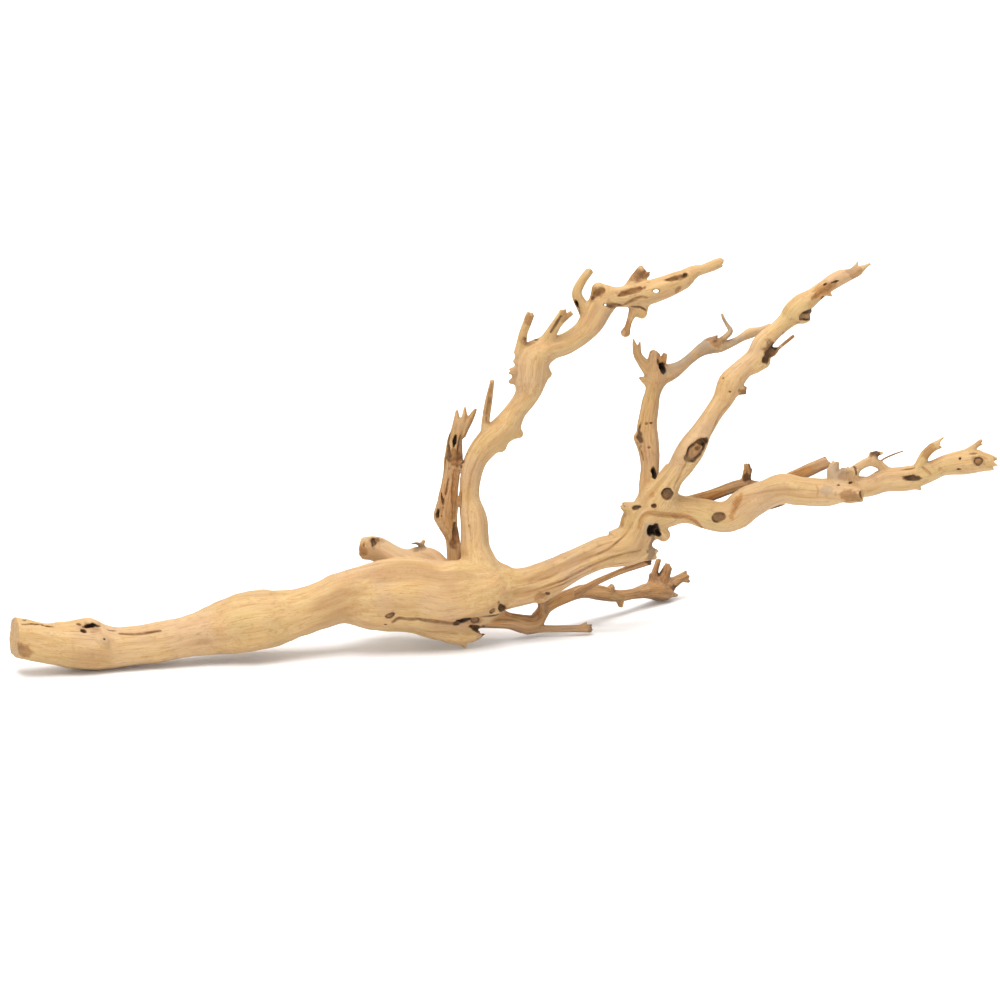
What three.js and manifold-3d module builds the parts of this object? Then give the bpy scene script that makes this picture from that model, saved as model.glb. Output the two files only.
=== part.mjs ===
// A fallen tree branch, bare of bark, about half a metre long, lying on its underside.
// Frame: millimetres, +X along the branch from the sawn butt to the far tips, +Y to its back, +Z up,
// with the origin on the ground under the middle of its box.
import * as THREE from "three";
import Module from "manifold-3d";

const wasm = await Module();
wasm.setup();

// Driving dimensions, in millimetres.
const CENTRE = new THREE.Vector3(4.2, 52.7, 0.15); // taken off every station: puts the box over the origin
const GROUND = 0; // nothing lies lower than this
const GAP = 0.3; // space left between a limb and the limb it grows from
const RING_STEP = 8; // distance between two rings of a thick limb
const THIN_STEP = 5.5; // the same on a twig
const THIN_RADIUS = 3.4; // a sweep that never gets thicker than this is a twig
const SIDES = [[10, 14], [5.5, 10], [THIN_RADIUS, 8], [0, 6]]; // corners of a ring: [thicker than, corners]
const LOBE = 0.045; // how far a ring strays from round, as a share of its radius
const TWIST = 0.035; // how fast those lobes turn round the limb, in radians a millimetre
const SAW_CUT = new THREE.Vector3(0.9, 0.42, -0.1).normalize(); // square to the sawn butt, into the wood
const SHORTEST_RADIUS = 0.45; // no twig gets thinner than this
const END_LIFTS = [1.25, 0.7]; // how far round a rounded end its two rings stand, in radians
const END_LENGTH = 0.7; // length of a rounded end, as a share of its radius

// Every limb is a list of sweeps. The first is the limb itself and the others are its knots and spurs.
// A sweep is a list of stations [x, y, z, radius], from its root to its tip.
const BRANCH = {
  "trunk": [
    [[-232.8, -7, 18.8, 9.6], [-221, -4.5, 15.4, 9.6], [-211, -2, 13.7, 10.6], [-200, 0, 12.2, 11.9],
     [-188, 3, 10.4, 10.1], [-170, 7, 11.2, 9.5], [-151, 11, 13.6, 10.3], [-134.5, 15, 16.6, 13],
     [-122, 17, 19.2, 14.7], [-108, 20, 20.3, 12.9], [-93.5, 23, 23.6, 11.7], [-76.5, 27, 28.2, 12.7],
     [-59.5, 31, 28.2, 17], [-44.5, 34, 27.4, 18.4], [-30, 37, 24.6, 18.6], [-15, 40, 26, 16.6],
     [-2.5, 43, 28.2, 11.8]],
    [[-202, 1, 17, 7], [-198, 1, 19.3, 5.6]],
    [[-46, 28, 14.5, 3.8], [-32, 30, 10.4, 4.6], [-22, 32, 7.9, 4.8], [-15, 33.5, 7.2, 4.4],
     [-9.4, 35.4, 8.8, 3]],
    [[-20, 32, 6.5, 3], [-17.3, 32, 0.9, 1]]
  ],
  "rear_stub": [
    [[-43.5, 48, 37, 7], [-54, 53, 41.4, 6.2], [-62, 57, 44.3, 6.4], [-66.5, 59, 43.6, 5.3]],
    [[-46, 53, 41, 4], [-40, 54, 42, 4.4], [-33, 52, 40.5, 4.6], [-27, 48, 36, 4]]
  ],
  "split_snag": [
    [[-22.5, 53, 34, 3.8], [-23.5, 57, 49, 3.6], [-27, 60, 58.6, 6], [-26, 62, 68.5, 5.2],
     [-24.5, 64, 79.3, 4.6], [-23.5, 66, 89, 4.9], [-22.5, 68, 98, 4], [-21.5, 69, 105.5, 2.4],
     [-21.5, 70, 112, 0.7]],
    [[-20.5, 68, 101, 2.6], [-18, 69, 108, 1.8], [-17.5, 70, 114, 0.7]],
    [[-19, 68, 101, 2.2], [-15, 69, 108.5, 1.7], [-12.5, 69, 113.5, 0.7]]
  ],
  "upright_limb": [
    [[-7.5, 43, 31, 11.6], [-10.4, 46, 39.5, 9], [-12.5, 50, 48.4, 7.1], [-13, 54, 60.2, 6.6],
     [-15, 57, 69.8, 4.9], [-14.7, 59, 79.7, 4.9], [-12, 61, 89.5, 5.4], [-6, 62, 98, 6.8],
     [2, 63, 105, 7], [8, 64, 113.8, 5.5], [13.4, 65, 121.7, 6], [15.4, 66, 130.6, 8.2],
     [17, 67, 140, 8.2], [24.2, 68, 144.5, 6], [32.6, 69, 146.7, 5.4], [40.5, 71, 151.7, 5.2],
     [46, 72, 158, 6.4], [49.5, 73, 164.3, 6.7], [55.4, 74, 168.6, 5.4], [62.8, 75, 169.4, 5.3],
     [71, 76, 170.4, 6.1], [79, 77, 172.6, 5.9], [85, 78, 174.8, 5.4], [91, 79, 177.2, 4.7],
     [96, 80, 180.8, 3.2], [100.5, 80.5, 182.2, 2.5], [105.4, 81, 183.8, 2.3], [109.7, 82, 185.5, 1.9]],
    [[-7, 61, 102, 2.8], [-7.2, 61.5, 108, 2.2], [-5.6, 62.5, 119, 1.8], [-3.7, 64, 129, 1.2]],
    [[10, 66, 143, 3.2], [11.5, 65, 152.5, 2.2], [13.3, 64, 158, 2.2], [15, 64, 162.4, 2]],
    [[22, 67, 147, 3.6], [27.4, 65, 156.7, 2.6], [31.8, 64, 164, 2.1]],
    [[42, 73, 163, 3.4], [38, 73, 170.7, 2.5], [40.3, 74, 176.9, 2.2], [44.5, 74, 182.5, 1.8]],
    [[50, 73, 166, 5], [52.5, 73.5, 171.8, 3.6]],
    [[64, 77, 172, 3.4], [67, 78, 177.4, 2.8], [70.6, 80, 182.6, 1.9]],
    [[67, 75, 164, 2.8], [64.5, 74.5, 157.6, 1.6], [62.5, 74, 151.4, 2.4]],
    [[70, 75.5, 165, 4], [70.3, 75, 161, 2.9]]
  ],
  "middle_limb": [
    [[-4, 43, 28.2, 10], [10, 45, 28.3, 9.2], [22.5, 48, 31.3, 9], [37.6, 51, 38.4, 7.8],
     [50, 54, 42.8, 8], [62.5, 57, 45, 8.4], [68, 60, 51.5, 9], [72, 62, 59.5, 9.4],
     [83, 63, 63.5, 8.3]],
    [[64, 58, 44.5, 7.6], [73, 60, 43.8, 6]],
    [[76, 60, 57, 5], [82, 59, 51.2, 3.6]]
  ],
  "back_limb": [
    [[76, 64, 64, 7], [75, 69, 75.9, 5.2], [75.3, 72, 84, 4.7], [74.5, 75, 93.6, 5.5],
     [74, 78, 103.2, 4.9], [75.5, 81, 112.8, 4.4], [77, 83, 119.1, 3.9], [78.6, 85, 126, 5.1],
     [78.4, 86, 131.5, 4.6]],
    [[75, 86, 129.5, 3.2], [69.5, 87, 136.8, 2.2], [68, 88, 141.2, 1.6], [67, 88, 145.3, 0.6]],
    [[77.5, 86, 131, 3.4], [77.6, 85, 139.2, 2.4]],
    [[81, 86, 130, 2.4], [82.8, 84, 138.6, 1.3]]
  ],
  "back_arm": [
    [[79, 86, 126, 4.4], [84.5, 87, 128, 4.4], [90.7, 88, 130.9, 3.2], [95.9, 90, 134.6, 2.8],
     [101, 92, 138.3, 3.2], [106.7, 94, 140.6, 4.2], [111.3, 96, 139.8, 3.2], [117.5, 98, 141.3, 2.1],
     [122.6, 100, 143.6, 2], [127.3, 101, 146, 2.7], [132, 102, 147, 1.9], [137, 103, 149, 1.3]],
    [[109.5, 95, 141.5, 1.9], [114.3, 96, 145.1, 1.6], [116.6, 97, 147.7, 1.5], [114.9, 98, 150.6, 1.1],
     [113, 98, 153.8, 0.9], [112.3, 98, 155.9, 0.6]]
  ],
  "diagonal_limb": [
    [[79, 62, 68, 8.4], [85.5, 60, 79.9, 5.8], [90, 59, 86.9, 6], [94.6, 58, 95.5, 6.8],
     [100, 59, 104.4, 5.2], [105.8, 60, 113.8, 4.5], [110.7, 62, 120.8, 5.4], [114, 64, 127.9, 6.3],
     [119.5, 66, 134.1, 5.1], [126.5, 68, 139.8, 5], [130.3, 69, 147.1, 4.7], [136.8, 71, 153.3, 3.8],
     [142.7, 73, 158.3, 4.4], [148.1, 74, 164.3, 5.5], [154.5, 76, 168.9, 4.2], [160.5, 77, 173.4, 3.7],
     [167.5, 79, 177.5, 3.9], [173.5, 81, 179.2, 2.8], [178, 82, 181.1, 2.4], [181.5, 83, 183, 1.1],
     [183.6, 84, 183.8, 0.6]],
    [[115, 63, 125, 3], [121, 62, 125, 1.8]],
    [[126.5, 67, 137, 4.6], [130, 66.5, 138.5, 4]],
    [[146, 73.5, 161.5, 5], [150, 72.5, 160, 4]],
    [[129, 68, 141, 3], [134.5, 66.5, 143.2, 2.4], [138, 66, 145.5, 1], [145, 67, 151, 0.8]]
  ],
  "right_limb": [
    [[84, 63.5, 62.5, 7.4], [95.3, 64, 62.7, 6.8], [110.2, 63, 59.6, 7.8], [117.7, 62, 61.2, 8.4],
     [124, 61, 67.2, 8.4], [132.4, 60, 71.6, 7.2], [141.2, 58, 75.6, 7.3], [150.1, 57, 74.2, 7.1],
     [161.4, 56, 74.2, 6.9], [170.2, 55, 76.1, 6.8], [178.1, 55, 77.1, 5.8], [183.9, 54, 77.8, 5.1],
     [191.2, 54, 80.9, 5.8], [201.5, 53, 82, 6.2], [207.3, 53, 83.3, 5.5], [214.1, 52, 86.2, 4.8],
     [220.5, 52, 88.8, 5.2], [230.8, 51, 90.8, 6.1], [237.5, 50, 91.1, 4.9], [243, 50, 90.3, 3]],
    [[167, 54, 80, 4.2], [165, 53.5, 85.6, 3], [166.4, 53, 89.8, 1.7]],
    [[174.5, 53, 81, 3.4], [176, 52.5, 86.6, 1.9]],
    [[170, 54, 80, 3], [177.5, 54, 87.4, 2.3], [184, 54, 90.3, 2.4], [190, 54, 87.2, 2.3],
     [194, 54, 82, 2.6]],
    [[184.5, 54, 91, 2], [184.7, 54, 94, 1.3]],
    [[207, 52.5, 85, 3], [209.6, 52, 93.4, 2.5], [213.2, 52, 97.6, 2.3], [217.6, 52, 99.6, 1.9]],
    [[228, 51, 93.5, 2.4], [234.3, 51, 98.8, 1.6], [237.6, 51, 101.2, 1.8]],
    [[166, 51, 75, 4.2], [173, 47.6, 74.6, 3.8], [177.8, 46, 75.2, 3.4]]
  ],
  "rear_twig": [
    [[93, 69, 64.3, 3.6], [108.5, 75, 68.1, 3], [122.3, 79, 71.7, 3.1], [136.8, 82, 70.5, 2.7],
     [152, 84, 76, 3.2], [159.7, 85, 79.3, 3.2], [166, 85.5, 82, 2.8]],
    [[124.5, 79.5, 73, 2.4], [125.4, 80, 79.4, 1.9], [124.7, 80, 82.3, 1.1]]
  ],
  "lower_twig": [
    [[-15, 38, 13, 3.6], [-5, 42, 11.7, 3.6], [5, 45.5, 10.2, 3.8], [12.5, 49, 7.2, 4.4],
     [18, 52, 7.4, 4], [22.3, 57, 12.3, 3.1], [28.3, 62, 15, 3.1], [36, 68, 16.9, 3.3], [43.2, 73, 17.3, 3.5],
     [51.1, 80, 14.4, 3.8], [60.7, 88, 10.2, 3.2], [69.8, 97, 8.6, 3], [78, 105, 7.6, 4.2],
     [86, 112, 5.6, 5.3]],
    [[-5, 42, 18.5, 3], [3.5, 44.5, 13, 2.1], [10.5, 48, 7.5, 2.2]],
    [[21.6, 55.5, 11.6, 2.8], [21, 52, 16, 2.1], [20.6, 49.5, 20, 2.3], [20, 48, 24, 3]],
    [[79, 108, 8, 2.6], [81.2, 112, 15.5, 1.6], [83.4, 114.5, 22, 1.4]],
    [[83, 110, 6.6, 4.2], [86.6, 114, 13.4, 2.8], [88.8, 116.2, 17.8, 2.2]],
    [[86, 112, 6.6, 3.8], [93.5, 117, 10, 2.5], [98.4, 119.4, 12.2, 2.2]],
    [[87, 112, 4, 2.6], [93.5, 116, 2, 0.9]]
  ],
  "lower_spur": [
    [[14, 49, 4.6, 2.4], [22.6, 51, 4.2, 1.9], [34, 53, 3.4, 1.8], [45.3, 55, 2.9, 2]]
  ],
  "strip_twig": [
    [[37, 67, 17, 2], [44, 67, 21.4, 1.8], [50.5, 66, 25.3, 1.7], [63, 68, 30.2, 1.6],
     [75.7, 70, 33.8, 1.5]]
  ]
};

// The limb that each one grows from.
const PARENTS = {
  "rear_stub": ["trunk"],
  "split_snag": ["trunk", "rear_stub"],
  "upright_limb": ["trunk", "split_snag"],
  "middle_limb": ["trunk", "upright_limb"],
  "back_limb": ["middle_limb"],
  "diagonal_limb": ["middle_limb", "back_limb"],
  "right_limb": ["middle_limb", "diagonal_limb", "back_limb"],
  "rear_twig": ["middle_limb", "right_limb", "back_limb", "diagonal_limb"],
  "back_arm": ["back_limb", "diagonal_limb"],
  "lower_twig": ["trunk", "middle_limb"],
  "lower_spur": ["lower_twig", "trunk"],
  "strip_twig": ["lower_twig", "middle_limb"]
};

// Wood colours, from the sound pale limbs to the dark dead ones.
const WOOD = {
  "trunk": 0xd9b680,
  "rear_stub": 0xcda476,
  "split_snag": 0x9a7044,
  "upright_limb": 0xd6b07a,
  "middle_limb": 0xd2ad7a,
  "back_limb": 0xc99b69,
  "back_arm": 0xc39a6e,
  "diagonal_limb": 0xd8b076,
  "right_limb": 0xd6b17d,
  "rear_twig": 0x9c7048,
  "lower_twig": 0xb98a5c,
  "lower_spur": 0xb08258,
  "strip_twig": 0x9f7650
};

// The spots along a sweep where a ring stands, as curve parameters from 0 to 1, about a step apart.
function ringSpots(centres, step) {
  const spots = [];
  const pieces = centres.length - 1;
  for (let i = 0; i < pieces; i += 1) {
    const parts = Math.max(1, Math.round(centres[i].distanceTo(centres[i + 1]) / step));
    for (let k = 0; k < parts; k += 1) spots.push((i + k / parts) / pieces);
  }
  spots.push(1);
  return spots;
}

// The closed skin of a sweep, with both ends rounded off.
function skinOf(stations, grow) {
  const thickest = Math.max(...stations.map((station) => station[3]));
  const sides = SIDES.find(([floor]) => thickest > floor)[1];
  const centres = stations.map(([x, y, z]) => new THREE.Vector3(x, y, z).sub(CENTRE));
  const line = new THREE.CatmullRomCurve3(centres, false, "catmullrom", 0.5);
  const widths = new THREE.SplineCurve(stations.map((station, i) => new THREE.Vector2(i, station[3])));
  const radiusAt = (t) => Math.max(widths.getPoint(t).y, SHORTEST_RADIUS) + grow;
  const vertices = [];
  let side = new THREE.Vector3(0, 1, 0);
  const addRing = (centre, heading, radius, turn) => {
    side = side.clone().addScaledVector(heading, -side.dot(heading)).normalize();
    const up = heading.clone().cross(side);
    for (let k = 0; k < sides; k += 1) {
      const angle = (2 * Math.PI * k) / sides;
      const stray = 1 + LOBE * Math.cos(2 * angle + turn) + 0.6 * LOBE * Math.cos(3 * angle - 1.7 * turn);
      const corner = centre.clone();
      corner.addScaledVector(side, radius * stray * Math.cos(angle));
      corner.addScaledVector(up, radius * stray * Math.sin(angle));
      vertices.push(corner.x, corner.y, corner.z);
    }
  };
  const addEndRing = (t, way, turn, lift) => {
    const heading = line.getTangent(t);
    const radius = radiusAt(t);
    const centre = line.getPoint(t).addScaledVector(heading, way * radius * Math.sin(lift) * END_LENGTH);
    addRing(centre, heading, radius * Math.cos(lift), turn);
  };
  let travelled = 0;
  let previous = centres[0];
  for (const lift of END_LIFTS) addEndRing(0, -1, 0, lift);
  for (const t of ringSpots(centres, thickest > THIN_RADIUS ? RING_STEP : THIN_STEP)) {
    const point = line.getPoint(t);
    travelled += point.distanceTo(previous);
    previous = point;
    addRing(point, line.getTangent(t), radiusAt(t), TWIST * travelled);
  }
  for (const lift of END_LIFTS.slice().reverse()) addEndRing(1, 1, TWIST * travelled, lift);

  const corners = [];
  const rings = vertices.length / 3 / sides;
  for (let i = 0; i + 1 < rings; i += 1) {
    for (let k = 0; k < sides; k += 1) {
      const a = i * sides + k;
      const b = i * sides + ((k + 1) % sides);
      corners.push(a, b, b + sides, a, b + sides, a + sides);
    }
  }
  const first = (rings - 1) * sides;
  for (let k = 1; k + 1 < sides; k += 1) {
    corners.push(0, k + 1, k);
    corners.push(first, first + k, first + k + 1);
  }
  const skin = new THREE.BufferGeometry();
  skin.setAttribute("position", new THREE.Float32BufferAttribute(vertices, 3));
  skin.setIndex(corners);
  return skin;
}

// A closed geometry as a manifold-3d solid.
function solidOf(geometry) {
  return new wasm.Manifold(
    new wasm.Mesh({
      numProp: 3,
      vertProperties: geometry.attributes.position.array,
      triVerts: new Uint32Array(geometry.index.array),
    }),
  );
}

// All the sweeps of a limb joined, made thicker all round by grow.
function joined(name, grow = 0) {
  return BRANCH[name].map((sweep) => solidOf(skinOf(sweep, grow))).reduce((whole, more) => whole.add(more));
}

// The largest body of a solid: what a cut leaves on the far side of the parent is dropped.
function largest(solid) {
  return solid.decompose().sort((a, b) => b.volume() - a.volume())[0];
}

// The trunk sawn off at its first station.
function sawnButt(solid) {
  const root = new THREE.Vector3(...BRANCH.trunk[0][0].slice(0, 3)).sub(CENTRE);
  return solid.trimByPlane(SAW_CUT.toArray(), SAW_CUT.dot(root));
}

function limbMesh(name) {
  let solid = joined(name);
  for (const parent of PARENTS[name] || []) solid = solid.subtract(joined(parent, GAP));
  if (name === "trunk") solid = sawnButt(solid);
  const skin = largest(solid.trimByPlane([0, 0, 1], GROUND)).getMesh();
  const geometry = new THREE.BufferGeometry();
  geometry.setAttribute("position", new THREE.BufferAttribute(skin.vertProperties, 3));
  geometry.setIndex(new THREE.BufferAttribute(skin.triVerts, 1));
  geometry.computeVertexNormals();
  const material = new THREE.MeshStandardMaterial({ color: WOOD[name], roughness: 0.8, metalness: 0 });
  const limb = new THREE.Mesh(geometry, material);
  limb.name = name;
  return limb;
}

const group = new THREE.Group();
for (const name of Object.keys(BRANCH)) group.add(limbMesh(name));

export default group;
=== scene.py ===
"""The looks of a fallen tree branch, bare of bark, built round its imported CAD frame.

The limbs are sweeps, as in the CAD source. Here they are joined as one smooth distance field, with
their lumps, flutes, torn ends, cracks, knots and worm holes. Each limb's share of that field
becomes its mesh. Shapes are worked out in millimetres in the branch's own frame, and go to metres
in the row frame at the end.
"""
import math

import bpy
import numpy as np
import openvdb
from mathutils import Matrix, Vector


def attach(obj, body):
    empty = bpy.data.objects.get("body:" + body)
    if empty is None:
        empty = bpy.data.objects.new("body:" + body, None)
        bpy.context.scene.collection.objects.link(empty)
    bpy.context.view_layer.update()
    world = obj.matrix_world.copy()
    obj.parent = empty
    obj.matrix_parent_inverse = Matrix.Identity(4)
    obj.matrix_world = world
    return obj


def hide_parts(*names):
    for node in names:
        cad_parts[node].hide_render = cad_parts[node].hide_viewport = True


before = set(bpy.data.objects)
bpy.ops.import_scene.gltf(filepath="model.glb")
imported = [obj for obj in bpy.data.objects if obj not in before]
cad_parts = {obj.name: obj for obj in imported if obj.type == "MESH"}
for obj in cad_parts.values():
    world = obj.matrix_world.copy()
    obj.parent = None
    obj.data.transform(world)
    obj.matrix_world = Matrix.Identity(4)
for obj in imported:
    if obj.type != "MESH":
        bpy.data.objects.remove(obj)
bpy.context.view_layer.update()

MM = 0.001
CENTRE = np.array([4.2, 52.7, 0.15])  # taken off every point, as in the CAD source

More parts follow.
